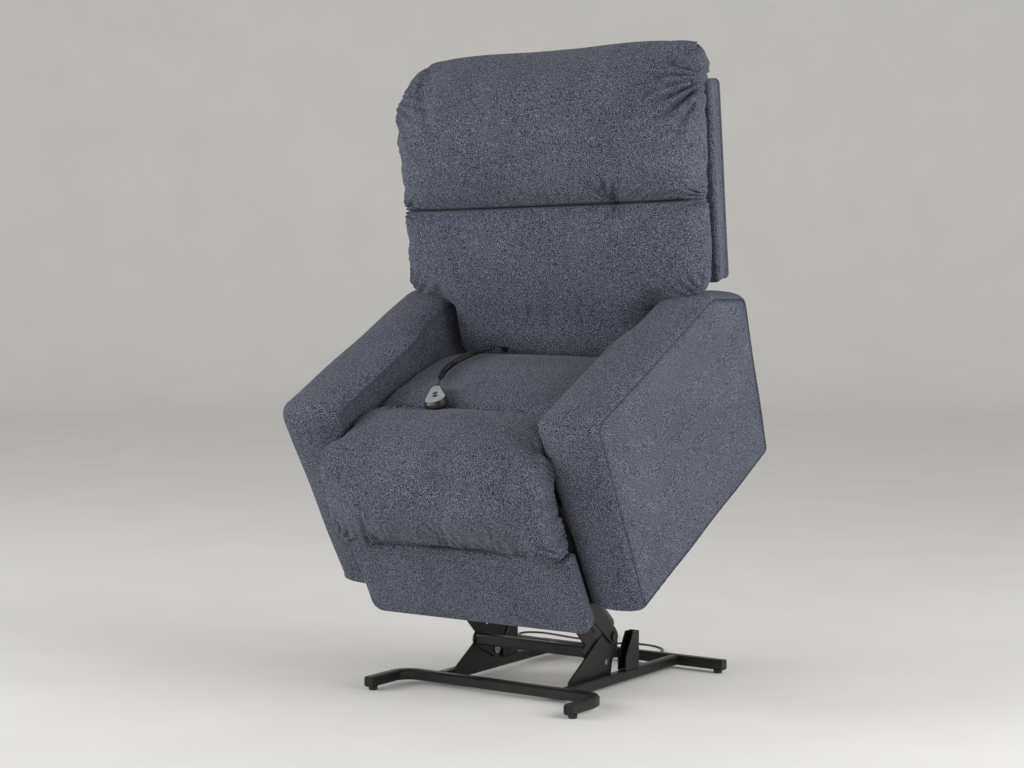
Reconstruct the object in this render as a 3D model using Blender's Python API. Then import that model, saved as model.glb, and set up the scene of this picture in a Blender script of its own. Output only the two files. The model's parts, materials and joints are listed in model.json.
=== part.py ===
# Lift recliner chair, raised and tilted forward to help its user stand.
# Metres, +Z up. The chair faces -Y and x = 0 is its plane of symmetry.
# The origin is on the floor under the middle of the chair.
# Chair coordinates start at the front bottom corner of the arms: y runs back along
# the arm bottoms and z up the arm fronts. The lift tilts and raises that frame.

import math

import bpy
import bmesh
import numpy as np
from mathutils import Vector

# Clearances
TOUCH = 0.0003              # between pieces that rest on each other
PIVOT_PLAY = 0.0005         # between stacked plates that turn on each other
OPEN_PLAY = 0.0040          # round the pin of the upper links' open pivot

# Base
TUBE = 0.025                # side of the square base tube
TUBE_ROUND = 0.004
GLIDE_HEIGHT = 0.009
GLIDE_RADIUS = 0.011
FRONT_TUBE_Y = -0.194
REAR_TUBE_Y = 0.324
REAR_HALF_LENGTH = 0.315
SIDE_TUBE_X = 0.1775
FOOT_X = 0.2815
FOOT_TIP_Y = -0.336
FOOT_BEND = 0.045           # centre-line radius where the front tube turns into a foot
GLIDE_INSET = 0.018         # from a tube end to the middle of its glide

# Lift linkage: (y, z) pivots on the base, then on the chair in chair coordinates
PLATE = 0.0045
LINK_PLATE = 0.005
LOW_PIVOT = (0.015, 0.062)
UP_PIVOT = (0.040, 0.120)
LOW_JOINT = (0.045, 0.022)
UP_JOINT = (0.070, 0.050)
LINK_WIDTH = 0.036
PIN_RADIUS = 0.007
PIN_HEAD = 0.012
PIN_HEAD_HEIGHT = 0.0035
TORQUE_TUBE = 0.026
TORQUE_REACH = 0.085        # from the lower pivot
TORQUE_ANGLE = math.radians(25.0)
RISER_FRONT = -0.150
RISER_REAR = 0.030
RISER_BOTTOM = 0.012
POST_Y = 0.095
POST_LENGTH = 0.060
POST_HEIGHT = 0.125
POST_WALL = 0.004

# Place of the chair on its lift
LIFT_TILT = math.radians(28.0)
CHAIR_Y = -0.2515
CHAIR_Z = 0.2422
HOME_CLEARANCE = 0.060      # from the floor to the arm bottoms when lowered

# Actuator
ACTUATOR_PIVOT = (0.260, 0.045)
DRIVE_BAR = (0.170, 0.080)  # chair coordinates
DRIVE_BAR_RADIUS = 0.008
DRIVE_SLOT = 0.0125         # lost motion of the bar in the rod's eye
ROD_RADIUS = 0.010
ROD_LENGTH = 0.190
ROD_EYE = 0.016
ACTUATOR_TUBE_RADIUS = 0.018
ACTUATOR_TUBE_END = 0.355   # from the pivot
GEARBOX_LENGTH = 0.075
MOTOR_RADIUS = 0.024
MOTOR_OFFSET = 0.050
MOTOR_LENGTH = 0.095
EYE_WIDTH = 0.020
BRACKET_WALL = 0.004

# Seat structure in chair coordinates
INNER_HALF = 0.300          # inner faces of the arms
HINGE_PLATE = 0.003
RAIL_TOP = 0.155
RAIL_BOTTOM = 0.115
RAIL_REAR = 0.430
RAIL_FLANGE = 0.030
BOARD_THICK = 0.025
FRONT_BOARD_Y = 0.020
REAR_BOARD_Y = 0.385
DECK_BOTTOM = 0.225
DECK_THICK = 0.025
DECK_REAR = 0.515

# Arms in chair coordinates
ARM_HEIGHT = 0.490
ARM_TOP_REAR = (0.581, 0.485)
ARM_REAR_TOP = (0.721, 0.407)
ARM_REAR_BOTTOM = 0.671
ARM_OUTER_TOP = 0.4375
ARM_OUTER_BOTTOM = 0.4225
ARM_CORNER = 0.035
ARM_CROWN = 0.008

# Soft pieces
SEAT_EDGE = 0.024           # how far a cushion's end is drawn in
SEAT_CROWN = 0.010
SEAM_Y = 0.176
SEAM_DEPTH = 0.016
SEAT_REAR = 0.492

# Footrest, from its hinge in chair coordinates
FOOT_HINGE = (-0.045, 0.385)
KNUCKLE = 0.0445
PAD_FRONT = 0.073           # from the hinge to the front of the leg pad
PAD_BOTTOM = -0.228
BOARD_FRONT = -0.010
BOARD_DEPTH = 0.0325
BOARD_BOTTOM = -0.425
BOARD_CORNER = 0.030
BOARD_HALF = 0.2965         # fills the space between the arms
SWING_WIDTH = 0.028         # of the swing arms behind the board

# Backrest, from its hinge in chair coordinates, along its own lean
BACK_HINGE = (0.550, 0.250)
BACK_LEAN = math.radians(21.5)
SHELL_FRONT = 0.044
SHELL_THICK = 0.085
SHELL_BOTTOM = -0.010
SHELL_TOP = 0.718
SHELL_HALF = 0.385
WING_BOTTOM = 0.242
BACK_HALF = 0.428
BACK_DEPTH = 0.155
BACK_BOTTOM = 0.045
BACK_TOP = 0.812
BACK_SEAM = 0.430
BACK_SEAM_DEPTH = 0.036
BACK_POINTS = 20

# Handset
HANDSET_PLACE = (-0.100, 0.165)
HANDSET_TURN = math.radians(34.0)
HANDSET_PITCH = math.radians(-7.0)
HANDSET_LENGTH = 0.115
HANDSET_WIDE = 0.029        # end radii
HANDSET_SLIM = 0.016
HANDSET_THICK = 0.021
FACE_THICK = 0.0015
FACE_INSET = 0.005
BUTTON_RADIUS = 0.0058
BUTTON_TRAVEL = 0.0015
BUTTON_PLACES = {"up": 0.004, "down": -0.015}

# Cords
CURL_WIRE = 0.0034
CURL_OUTER = 0.0120
CURLS = 28
CURL_POINTS = 8
LEAD = 0.005
COIL_PLACE = (-0.190, 0.560)
COIL_INNER = 0.0195         # least radius of the coil's turns
COIL_TURNS = 3              # in each of two layers
LOOP_POINTS = 24
PLUG_RUN = 0.040            # straight run from the coil to the plug

# The handset cord's middle line in chair coordinates, from the handset to its grommet
HANDSET_CORD = [
    (-0.139, 0.236, 0.4345), (-0.148, 0.256, 0.4300), (-0.160, 0.284, 0.4272), (-0.167, 0.315, 0.4235),
    (-0.168, 0.348, 0.4185), (-0.163, 0.380, 0.4135), (-0.153, 0.412, 0.4080), (-0.138, 0.440, 0.4020),
    (-0.122, 0.460, 0.3960)]

# The power lead on the floor behind the base, before the frame is centred: from its inlet to the coil
POWER_LEAD = [
    (0.030, 0.380, 0.0200), (0.032, 0.394, 0.0165), (0.038, 0.412, 0.0090), (0.045, 0.432, 0.0040),
    (0.049, 0.454, 0.0028), (0.047, 0.480, 0.0028), (0.032, 0.508, 0.0028), (0.004, 0.530, 0.0028),
    (-0.034, 0.541, 0.0028), (-0.076, 0.535, 0.0028), (-0.116, 0.514, 0.0028), (-0.158, 0.488, 0.0028),
    (-0.205, 0.464, 0.0028), (-0.255, 0.450, 0.0028), (-0.305, 0.447, 0.0028), (-0.352, 0.455, 0.0028),
    (-0.390, 0.472, 0.0028), (-0.411, 0.496, 0.0028), (-0.403, 0.522, 0.0028), (-0.375, 0.537, 0.0028),
    (-0.335, 0.538, 0.0028), (-0.290, 0.529, 0.0028), (-0.245, 0.521, 0.0028)]

RIGHT, LEFT = 1, -1
SIDES = {"right": RIGHT, "left": LEFT}

for old in list(bpy.data.objects):
    bpy.data.objects.remove(old, do_unlink=True)


# Materials

def finish(name, colour, roughness, metallic=0.0):
    made = bpy.data.materials.new(name)
    made.use_nodes = True
    shader = made.node_tree.nodes["Principled BSDF"]
    shader.inputs["Base Color"].default_value = (*colour, 1.0)
    shader.inputs["Roughness"].default_value = roughness
    shader.inputs["Metallic"].default_value = metallic
    return made


STEEL = finish("powder_coated_steel", (0.030, 0.027, 0.025), 0.42, 0.3)
ZINC = finish("zinc_pin", (0.32, 0.32, 0.33), 0.38, 1.0)
FABRIC = finish("slate_weave", (0.090, 0.112, 0.150), 0.92)
PLYWOOD = finish("plywood", (0.52, 0.38, 0.23), 0.70)
BLACK_PLASTIC = finish("black_plastic", (0.018, 0.018, 0.019), 0.45)
SILVER_PLASTIC = finish("silver_plastic", (0.55, 0.56, 0.57), 0.35, 0.4)
BLACK_RUBBER = finish("black_rubber", (0.014, 0.014, 0.015), 0.60)
BRIGHT_STEEL = finish("bright_steel", (0.62, 0.62, 0.63), 0.22, 1.0)


# Mesh tools

def make_object(name, verts, faces, material, parent, smooth_angle=35.0):
    mesh = bpy.data.meshes.new(name)
    mesh.from_pydata([tuple(v) for v in verts], [], [tuple(f) for f in faces])
    work = bmesh.new()
    work.from_mesh(mesh)
    bmesh.ops.recalc_face_normals(work, faces=work.faces)
    work.to_mesh(mesh)
    work.free()
    mesh.materials.append(material)
    mesh.shade_smooth()
    mesh.set_sharp_from_angle(angle=math.radians(smooth_angle))
    made = bpy.data.objects.new(name, mesh)
    made.parent = parent
    bpy.context.scene.collection.objects.link(made)
    return made


def loft(name, rings, material, parent, smooth_angle=35.0):
    """A closed skin over equal rings of points, with flat ends."""
    rings = np.asarray(rings, float)
    count, points = rings.shape[:2]
    faces = []
    for ring in range(count - 1):
        low, high = ring * points, (ring + 1) * points
        for at in range(points):
            after = (at + 1) % points
            faces.append((low + at, low + after, high + after, high + at))
    faces.append(tuple(range(points)))
    faces.append(tuple(range((count - 1) * points, count * points)))
    return make_object(name, rings.reshape(-1, 3), faces, material, parent, smooth_angle)


def placed(outline, level, axis):
    """A flat outline as a ring of points at one level of an axis."""
    outline = np.asarray(outline, float)
    flat = np.full(len(outline), level)
    columns = {"x": (flat, outline[:, 0], outline[:, 1]),
               "y": (outline[:, 0], flat, outline[:, 1]),
               "z": (outline[:, 0], outline[:, 1], flat)}
    return np.stack(columns[axis], axis=1)


def slab(name, outline, low, high, axis, material, parent):
    return loft(name, [placed(outline, low, axis), placed(outline, high, axis)], material, parent)


def rounded(corners, radius, steps=3):
    """A polygon with each corner replaced by an arc. A radius may be one value or one per corner."""
    corners = [np.array(c, float) for c in corners]
    radii = [radius] * len(corners) if np.isscalar(radius) else radius
    out = []
    for at, corner in enumerate(corners):
        before = corners[at - 1] - corner
        after = corners[(at + 1) % len(corners)] - corner
        reach = 0.45 * min(np.linalg.norm(before), np.linalg.norm(after))
        before, after = before / np.linalg.norm(before), after / np.linalg.norm(after)
        half = 0.5 * math.acos(np.clip(before @ after, -1.0, 1.0))
        tangent = min(radii[at] / math.tan(half), reach)
        centre = corner + (before + after) / np.linalg.norm(before + after) * tangent / math.cos(half)
        first, last = corner + before * tangent - centre, corner + after * tangent - centre
        sweep = math.atan2(first[0] * last[1] - first[1] * last[0], first @ last)
        for step in range(steps + 1):
            turn = sweep * step / steps
            cosine, sine = math.cos(turn), math.sin(turn)
            out.append(centre + (cosine * first[0] - sine * first[1], sine * first[0] + cosine * first[1]))
    return np.array(out)


def box_outline(x0, x1, y0, y1, radius=0.0, steps=3):
    corners = [(x0, y0), (x1, y0), (x1, y1), (x0, y1)]
    return rounded(corners, radius, steps) if radius else np.array(corners, float)


def hull(a, radius_a, b, radius_b, steps=8):
    """The outline round two circles, as of a link plate."""
    a, b = np.array(a, float), np.array(b, float)
    heading = math.atan2(b[1] - a[1], b[0] - a[0])
    spread = math.acos((radius_a - radius_b) / np.linalg.norm(b - a))
    around_b = heading + np.linspace(-spread, spread, steps + 1)
    around_a = heading + np.linspace(spread, 2.0 * math.pi - spread, steps + 1)
    return np.concatenate([b + radius_b * np.stack([np.cos(around_b), np.sin(around_b)], 1),
                           a + radius_a * np.stack([np.cos(around_a), np.sin(around_a)], 1)])


def circle(centre, radius, steps=16):
    turn = np.arange(steps) * 2.0 * math.pi / steps
    return np.stack([centre[0] + radius * np.cos(turn), centre[1] + radius * np.sin(turn)], 1)


def turned(name, profile, centre, axis, material, parent, steps=16):
    """A round piece: (place along the axis, radius) pairs, about a centre across it."""
    return loft(name, [placed(circle(centre, radius, steps), at, axis) for at, radius in profile],
                material, parent)


def through(points, before, after, spans):
    """A smooth curve through points, with slopes weighted by the distances between them."""
    ends = np.vstack([before, points, after])
    gaps = np.linalg.norm(np.diff(ends, axis=0), axis=1)[:, None]
    slopes = np.diff(ends, axis=0) / gaps
    blend = (slopes[:-1] * gaps[1:] + slopes[1:] * gaps[:-1]) / (gaps[:-1] + gaps[1:])
    out = []
    for at in range(len(points) - 1):
        p, q, reach = ends[at + 1], ends[at + 2], gaps[at + 1]
        for t in np.arange(spans) / spans:
            out.append((2 * t ** 3 - 3 * t ** 2 + 1) * p + (t ** 3 - 2 * t ** 2 + t) * reach * blend[at]
                       + (3 * t ** 2 - 2 * t ** 3) * q + (t ** 3 - t ** 2) * reach * blend[at + 1])
    return out


def open_spline(points, spans):
    points = np.asarray(points, float)
    before, after = 2 * points[0] - points[1], 2 * points[-1] - points[-2]
    return np.array(through(points, before, after, spans) + [points[-1]])


def closed_spline(points, spans):
    points = np.asarray(points, float)
    return np.array(through(np.vstack([points, points[:1]]), points[-1], points[1], spans))


def drawn_in(outline, amount, keep):
    """An outline moved inwards along its normals, held where keep says the piece rests."""
    outline = np.asarray(outline, float)
    along = np.roll(outline, -1, 0) - np.roll(outline, 1, 0)
    area = np.sum(outline[:, 0] * np.roll(outline[:, 1], -1) - outline[:, 1] * np.roll(outline[:, 0], -1))
    outward = np.stack([along[:, 1], -along[:, 0]], 1) * np.sign(area)
    outward /= np.linalg.norm(outward, axis=1)[:, None]
    return outline - outward * (amount * keep(outward))[:, None]


def tool(name, rings, parent):
    """A cutter or a body to be joined on: it shapes other pieces and isn't one itself."""
    made = loft(name, rings, BLACK_PLASTIC, parent)
    made.hide_render = True
    made.display_type = "WIRE"
    return made


def boolean(target, operand, operation):
    step = target.modifiers.new(operand.name, "BOOLEAN")
    step.object = operand
    step.operation = operation
    return target


def bore(target, holes, low, high, axis="x"):
    """Round holes through a plate: (centre, radius) pairs."""
    for number, (centre, radius) in enumerate(holes):
        rings = [placed(circle(centre, radius), level, axis) for level in (low, high)]
        boolean(target, tool(f"{target.name}_hole_{number}", rings, target.parent), "DIFFERENCE")
    return target


def tube_along(name, path, radius, material, parent, resolution):
    """A bevelled curve with filled ends along listed points."""
    curve = bpy.data.curves.new(name, "CURVE")
    curve.dimensions = "3D"
    curve.bevel_depth = radius
    curve.bevel_resolution = resolution
    curve.use_fill_caps = True
    spline = curve.splines.new("POLY")
    spline.points.add(len(path) - 1)
    for point, place in zip(spline.points, path):
        point.co = (*place, 1.0)
    curve.materials.append(material)
    made = bpy.data.objects.new(name, curve)
    made.parent = parent
    bpy.context.scene.collection.objects.link(made)
    return made


def empty(name, parent, location, turn=0.0):
    made = bpy.data.objects.new(name, None)
    made.parent = parent
    made.location = location
    made.rotation_euler = (turn, 0.0, 0.0)
    bpy.context.scene.collection.objects.link(made)
    return made


def to_world(chair_point):
    """A (y, z) of the lifted chair as (y, z) over the base."""
    cosine, sine = math.cos(LIFT_TILT), math.sin(LIFT_TILT)
    return np.array([CHAIR_Y + cosine * chair_point[0] - sine * chair_point[1],
                     CHAIR_Z + sine * chair_point[0] + cosine * chair_point[1]])


def mirrored(low, high, side):
    return sorted((low * side, high * side))


# Places across the chair, from the middle outwards on each side
TUBE_TOP = GLIDE_HEIGHT + TUBE
RISER_OUTER = SIDE_TUBE_X - TUBE / 2 - TOUCH
RISER_INNER = RISER_OUTER - PLATE
LOW_LINK_OUTER = RISER_INNER - PIVOT_PLAY
LOW_LINK_INNER = LOW_LINK_OUTER - LINK_PLATE
UP_LINK_INNER = RISER_OUTER + PIVOT_PLAY
UP_LINK_OUTER = UP_LINK_INNER + LINK_PLATE
CUSHION_HALF = INNER_HALF - 0.0118
SWING_PLATE = CUSHION_HALF + TOUCH
FIXED_PLATE = SWING_PLATE + HINGE_PLATE + TOUCH
FIXED_OUTER = FIXED_PLATE + HINGE_PLATE
DECK_HALF = FIXED_PLATE - TOUCH
BORE = PIN_RADIUS + TOUCH

# Frames of the moving groups
root = empty("chair_root", None, (0.0, 0.0, 0.0))
low_links = empty("lower_links", root, (0.0, *LOW_PIVOT))
up_links = empty("upper_links", root, (0.0, *UP_PIVOT))
chair = empty("chair", root, (0.0, CHAIR_Y, CHAIR_Z), LIFT_TILT)
footrest = empty("footrest", chair, (0.0, *FOOT_HINGE))
backrest = empty("backrest", chair, (0.0, *BACK_HINGE), -BACK_LEAN)


# Base

def square_ring(centre, across):
    """The tube's section, square to a level path whose sideways direction is given."""
    outline = box_outline(-TUBE / 2, TUBE / 2, -TUBE / 2, TUBE / 2, TUBE_ROUND, 1)
    sideways = np.array([across[0], across[1], 0.0])
    return np.array(centre) + outline[:, :1] * sideways + outline[:, 1:] * np.array([0.0, 0.0, 1.0])


def build_base():
    level = GLIDE_HEIGHT + TUBE / 2
    bend_y = FRONT_TUBE_Y - FOOT_BEND
    bend_x = FOOT_X - FOOT_BEND
    rings = [square_ring((FOOT_X, FOOT_TIP_Y, level), (1.0, 0.0))]
    for turn in np.linspace(0.0, math.pi / 2, 6):
        across = (math.cos(turn), math.sin(turn))
        middle = bend_x + FOOT_BEND * across[0], bend_y + FOOT_BEND * across[1], level
        rings.append(square_ring(middle, across))
    rings += [ring * (-1.0, 1.0, 1.0) for ring in reversed(rings)]
    loft("front_tube", rings, STEEL, root)

    half = TUBE / 2
    section = box_outline(REAR_TUBE_Y - half, REAR_TUBE_Y + half, GLIDE_HEIGHT, TUBE_TOP, TUBE_ROUND, 1)
    slab("rear_tube", section, -REAR_HALF_LENGTH, REAR_HALF_LENGTH, "x", STEEL, root)
    for name, side in SIDES.items():
        across = SIDE_TUBE_X * side
        section = box_outline(across - half, across + half, GLIDE_HEIGHT, TUBE_TOP, TUBE_ROUND, 1)
        slab(f"side_tube_{name}", section, FRONT_TUBE_Y + half + TOUCH, REAR_TUBE_Y - half - TOUCH,
             "y", STEEL, root)
        foot = [(0.0, GLIDE_RADIUS * 0.85), (0.002, GLIDE_RADIUS), (GLIDE_HEIGHT - TOUCH, GLIDE_RADIUS)]
        spots = {"front": (FOOT_X * side, FOOT_TIP_Y + GLIDE_INSET),
                 "rear": ((REAR_HALF_LENGTH - GLIDE_INSET) * side, REAR_TUBE_Y)}
        for end, spot in spots.items():
            turned(f"{end}_glide_{name}", foot, spot, "z", BLACK_RUBBER, root)


def build_riser(name, side):
    """A leaning plate on the side tube's inner face, with both lift pivots and the upper one's stub."""
    top = 0.028
    lean = [(RISER_FRONT, RISER_BOTTOM), (RISER_REAR, RISER_BOTTOM), (RISER_REAR + 0.012, LOW_PIVOT[1]),
            (UP_PIVOT[0] + top, UP_PIVOT[1] - 0.006), (UP_PIVOT[0] + 0.012, UP_PIVOT[1] + top),
            (UP_PIVOT[0] - top, UP_PIVOT[1] + 0.020), (RISER_FRONT, TUBE_TOP + 0.004)]
    low, high = mirrored(RISER_INNER, RISER_OUTER, side)
    plate = slab(f"riser_plate_{name}", rounded(lean, [0.006, 0.010, 0.02, 0.02, 0.02, 0.02, 0.006]),
                 low, high, "x", STEEL, root)
    stub = [(RISER_OUTER - PLATE / 2, PIN_RADIUS), (UP_LINK_OUTER + PIVOT_PLAY, PIN_RADIUS),
            (UP_LINK_OUTER + PIVOT_PLAY, PIN_HEAD), (UP_LINK_OUTER + PIVOT_PLAY + PIN_HEAD_HEIGHT, PIN_HEAD)]
    rings = [placed(circle(UP_PIVOT, radius), at * side, "x") for at, radius in stub]
    boolean(plate, tool(f"riser_stub_{name}", rings, root), "UNION")
    bore(plate, [(LOW_PIVOT, BORE)], low - TOUCH, high + TOUCH)


def build_rear_post(name, side):
    """A sloped channel standing on the side tube, open to the front."""
    outer = SIDE_TUBE_X + TUBE / 2 - 0.001
    inner = UP_LINK_INNER
    front, back = POST_Y - POST_LENGTH / 2, POST_Y + POST_LENGTH / 2
    wall = POST_WALL
    channel = [(inner, front), (inner + wall, front), (inner + wall, back - wall), (outer - wall, back - wall),
               (outer - wall, front), (outer, front), (outer, back), (inner, back)]
    channel = [(x * side, y) for x, y in channel]
    slope = 0.55 * POST_LENGTH
    foot, top = placed(channel, TUBE_TOP + TOUCH, "z"), placed(channel, POST_HEIGHT, "z")
    shoulder = placed(channel, TUBE_TOP + 0.35 * (POST_HEIGHT - TUBE_TOP), "z")
    top[:, 1] = np.maximum(top[:, 1], front + slope)
    loft(f"rear_post_{name}", [foot, shoulder, top], STEEL, root)


def lowered():
    """The lower links' turn from lifted to lowered, found from the arm bottoms' height over the floor."""
    joint = to_world(LOW_JOINT)
    reach = math.hypot(joint[0] - LOW_PIVOT[0], joint[1] - LOW_PIVOT[1])
    lifted_angle = math.atan2(joint[1] - LOW_PIVOT[1], LOW_PIVOT[0] - joint[0])
    lowered_angle = math.asin((HOME_CLEARANCE + LOW_JOINT[1] - LOW_PIVOT[1]) / reach)
    return lifted_angle - lowered_angle


def pivot_pin(name, side, centre, head_inside, low, high, parent):
    """A headed pin through two plates, flush on its other side."""
    if head_inside:
        profile = [(low - PIVOT_PLAY - PIN_HEAD_HEIGHT, PIN_HEAD), (low - PIVOT_PLAY, PIN_HEAD),
                   (low - PIVOT_PLAY, PIN_RADIUS), (high, PIN_RADIUS)]
    else:
        profile = [(low, PIN_RADIUS), (high + PIVOT_PLAY, PIN_RADIUS), (high + PIVOT_PLAY, PIN_HEAD),
                   (high + PIVOT_PLAY + PIN_HEAD_HEIGHT, PIN_HEAD)]
    turned(name, [(at * side, radius) for at, radius in profile], centre, "x", ZINC, parent)


def build_lift_links():
    low_end = to_world(LOW_JOINT) - LOW_PIVOT
    up_end = to_world(UP_JOINT) - UP_PIVOT
    torque_heading = math.atan2(low_end[1], low_end[0]) + (math.atan2(low_end[1], -low_end[0]) - TORQUE_ANGLE)
    torque = TORQUE_REACH * np.array([math.cos(torque_heading), math.sin(torque_heading)])
    radius = LINK_WIDTH / 2
    for name, side in SIDES.items():
        low, high = mirrored(LOW_LINK_INNER, LOW_LINK_OUTER, side)
        link = slab(f"lower_link_{name}", hull((0.0, 0.0), radius * 1.15, low_end, radius), low, high,
                    "x", STEEL, low_links)
        boss = hull((0.0, 0.0), radius, torque, TORQUE_TUBE * 0.72)
        boolean(link, tool(f"lower_link_boss_{name}", [placed(boss, low, "x"), placed(boss, high, "x")],
                           low_links), "UNION")
        bore(link, [((0.0, 0.0), BORE), (low_end, BORE)], low - TOUCH, high + TOUCH)
        pivot_pin(f"lower_pivot_pin_{name}", side, LOW_PIVOT, True, LOW_LINK_INNER, RISER_OUTER, root)
        pivot_pin(f"lower_link_pin_{name}", side, low_end, True, LOW_LINK_INNER, RISER_OUTER, low_links)

        low, high = mirrored(UP_LINK_INNER, UP_LINK_OUTER, side)
        link = slab(f"upper_link_{name}", hull((0.0, 0.0), radius, up_end, radius * 0.9), low, high,
                    "x", STEEL, up_links)
        bore(link, [((0.0, 0.0), BORE), (up_end, BORE)], low - TOUCH, high + TOUCH)
        pivot_pin(f"upper_link_pin_{name}", side, up_end, False, RISER_INNER, UP_LINK_OUTER, up_links)
    half = TORQUE_TUBE / 2
    section = torque + box_outline(-half, half, -half, half, TUBE_ROUND, 2)
    across = LOW_LINK_INNER - TOUCH
    slab("torque_tube", section, -across, across, "x", STEEL, low_links)


# Actuator between the rear tube and the chair's drive bar

drive_place = to_world(DRIVE_BAR)
actuator_run = drive_place - np.array(ACTUATOR_PIVOT)
actuator_length = float(np.linalg.norm(actuator_run))
actuator_angle = math.atan2(actuator_run[1], -actuator_run[0])
actuator = empty("actuator", root, (0.0, *ACTUATOR_PIVOT), -actuator_angle)
rod = empty("actuator_rod_frame", actuator, (0.0, -actuator_length, 0.0))


def build_actuator():
    """Local -Y runs from the rear pivot to the drive bar."""
    half = EYE_WIDTH / 2
    eye = ROD_EYE
    above, below = MOTOR_OFFSET + MOTOR_RADIUS, -0.022
    side_view = [(eye, -eye * 0.6), (eye, eye * 0.6), (eye * 0.4, eye + 0.004), (-0.010, above),
                 (-GEARBOX_LENGTH, above), (-GEARBOX_LENGTH, below), (-0.014, below), (eye * 0.4, -eye)]
    housing = slab("actuator_housing", rounded(side_view, 0.006), -half, half, "x", BLACK_PLASTIC, actuator)
    motor = [placed(circle((0.0, MOTOR_OFFSET), radius, 20), at, "y")
             for at, radius in ((-GEARBOX_LENGTH - MOTOR_LENGTH, MOTOR_RADIUS * 0.8),
                                (-GEARBOX_LENGTH - MOTOR_LENGTH + 0.008, MOTOR_RADIUS),
                                (-0.022, MOTOR_RADIUS), (-0.016, MOTOR_RADIUS * 0.85))]
    boolean(housing, tool("actuator_motor_can", motor, actuator), "UNION")
    bore(housing, [((0.0, 0.0), PIN_RADIUS * 0.8 + TOUCH)], -half - 0.02, half + 0.02)

    bore_end = GEARBOX_LENGTH + 0.012
    tube = turned("actuator_tube", [(-ACTUATOR_TUBE_END, ACTUATOR_TUBE_RADIUS),
                                    (-GEARBOX_LENGTH - TOUCH, ACTUATOR_TUBE_RADIUS)],
                  (0.0, 0.0), "y", BLACK_PLASTIC, actuator, 20)
    hollow = [placed(circle((0.0, 0.0), ROD_RADIUS + TOUCH, 20), at, "y")
              for at in (-ACTUATOR_TUBE_END - 0.01, -bore_end)]
    boolean(tube, tool("actuator_tube_bore", hollow, actuator), "DIFFERENCE")

    shaft = turned("actuator_rod", [(ROD_EYE * 0.6, ROD_RADIUS), (ROD_LENGTH, ROD_RADIUS)], (0.0, 0.0), "y",
                   BRIGHT_STEEL, rod, 20)
    slot = DRIVE_BAR_RADIUS + TOUCH
    cheek = rounded([(-ROD_EYE, -ROD_EYE), (ROD_EYE, -ROD_EYE), (ROD_EYE + 0.010, 0.0),
                     (ROD_EYE, DRIVE_SLOT + ROD_EYE), (-ROD_EYE, DRIVE_SLOT + ROD_EYE)], 0.008)
    opening = box_outline(-slot - 0.0026, slot, -slot, DRIVE_SLOT + slot, slot * 0.9)
    for name, outline, width, step in (("cheek", cheek, half, "UNION"),
                                       ("slot", opening, half + 0.004, "DIFFERENCE")):
        rings = [placed(outline, at, "x") for at in (-width, width)]
        boolean(shaft, tool(f"actuator_rod_{name}", rings, rod), step)

    inner, outer = half + PIVOT_PLAY, half + PIVOT_PLAY + BRACKET_WALL
    front, back = ACTUATOR_PIVOT[0] - 0.015, REAR_TUBE_Y - TUBE / 2 - TOUCH
    wall = back - BRACKET_WALL
    channel = [(-outer, front), (-inner, front), (-inner, wall), (inner, wall),
               (inner, front), (outer, front), (outer, back), (-outer, back)]
    low, high = GLIDE_HEIGHT + 0.003, ACTUATOR_PIVOT[1] + 0.013
    bracket = slab("actuator_bracket", channel, low, high, "z", STEEL, root)
    ends = -outer + 0.001, outer - 0.001
    pin = [placed(circle(ACTUATOR_PIVOT, PIN_RADIUS * 0.8), at, "x") for at in ends]
    boolean(bracket, tool("actuator_bracket_pin", pin, root), "UNION")


# Chair structure

def build_structure():
    across = RISER_INNER, RISER_OUTER
    for name, side in SIDES.items():
        low, high = mirrored(*across, side)
        web = [(FRONT_BOARD_Y, RAIL_TOP - TOUCH), (FRONT_BOARD_Y, LOW_JOINT[1] - 0.022),
               (LOW_JOINT[0] + 0.028, LOW_JOINT[1] - 0.022), (UP_JOINT[0] + 0.040, UP_JOINT[1] - 0.004),
               (DRIVE_BAR[0] - 0.022, DRIVE_BAR[1] - 0.024), (DRIVE_BAR[0] + 0.024, DRIVE_BAR[1] - 0.024),
               (DRIVE_BAR[0] + 0.058, RAIL_BOTTOM), (RAIL_REAR, RAIL_BOTTOM), (RAIL_REAR, RAIL_TOP - TOUCH)]
        radii = [0.004, 0.02, 0.02, 0.02, 0.02, 0.02, 0.02, 0.01, 0.004]
        rail = slab(f"carrier_rail_{name}", rounded(web, radii), low, high, "x", STEEL, chair)
        flange = box_outline(*mirrored(RISER_OUTER - PLATE / 2, RISER_OUTER + RAIL_FLANGE, side),
                             FRONT_BOARD_Y, RAIL_REAR)
        rings = [placed(flange, at, "z") for at in (RAIL_TOP - TOUCH - PLATE, RAIL_TOP - TOUCH)]
        boolean(rail, tool(f"carrier_flange_{name}", rings, chair), "UNION")
        bore(rail, [(LOW_JOINT, BORE), (UP_JOINT, PIN_RADIUS + OPEN_PLAY),
                    (DRIVE_BAR, DRIVE_BAR_RADIUS + TOUCH)], low - TOUCH, high + TOUCH)
    turned("drive_bar", [(-RISER_OUTER, DRIVE_BAR_RADIUS), (RISER_OUTER, DRIVE_BAR_RADIUS)], DRIVE_BAR, "x",
           ZINC, chair)
    for name, front in (("front_board", FRONT_BOARD_Y), ("rear_board", REAR_BOARD_Y)):
        section = box_outline(front, front + BOARD_THICK, RAIL_TOP, DECK_BOTTOM - TOUCH)
        slab(name, section, -INNER_HALF + TOUCH, INNER_HALF - TOUCH, "x", PLYWOOD, chair)
    section = box_outline(FRONT_BOARD_Y, DECK_REAR, DECK_BOTTOM, DECK_BOTTOM + DECK_THICK)
    slab("seat_deck", section, -DECK_HALF, DECK_HALF, "x", PLYWOOD, chair)


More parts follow.
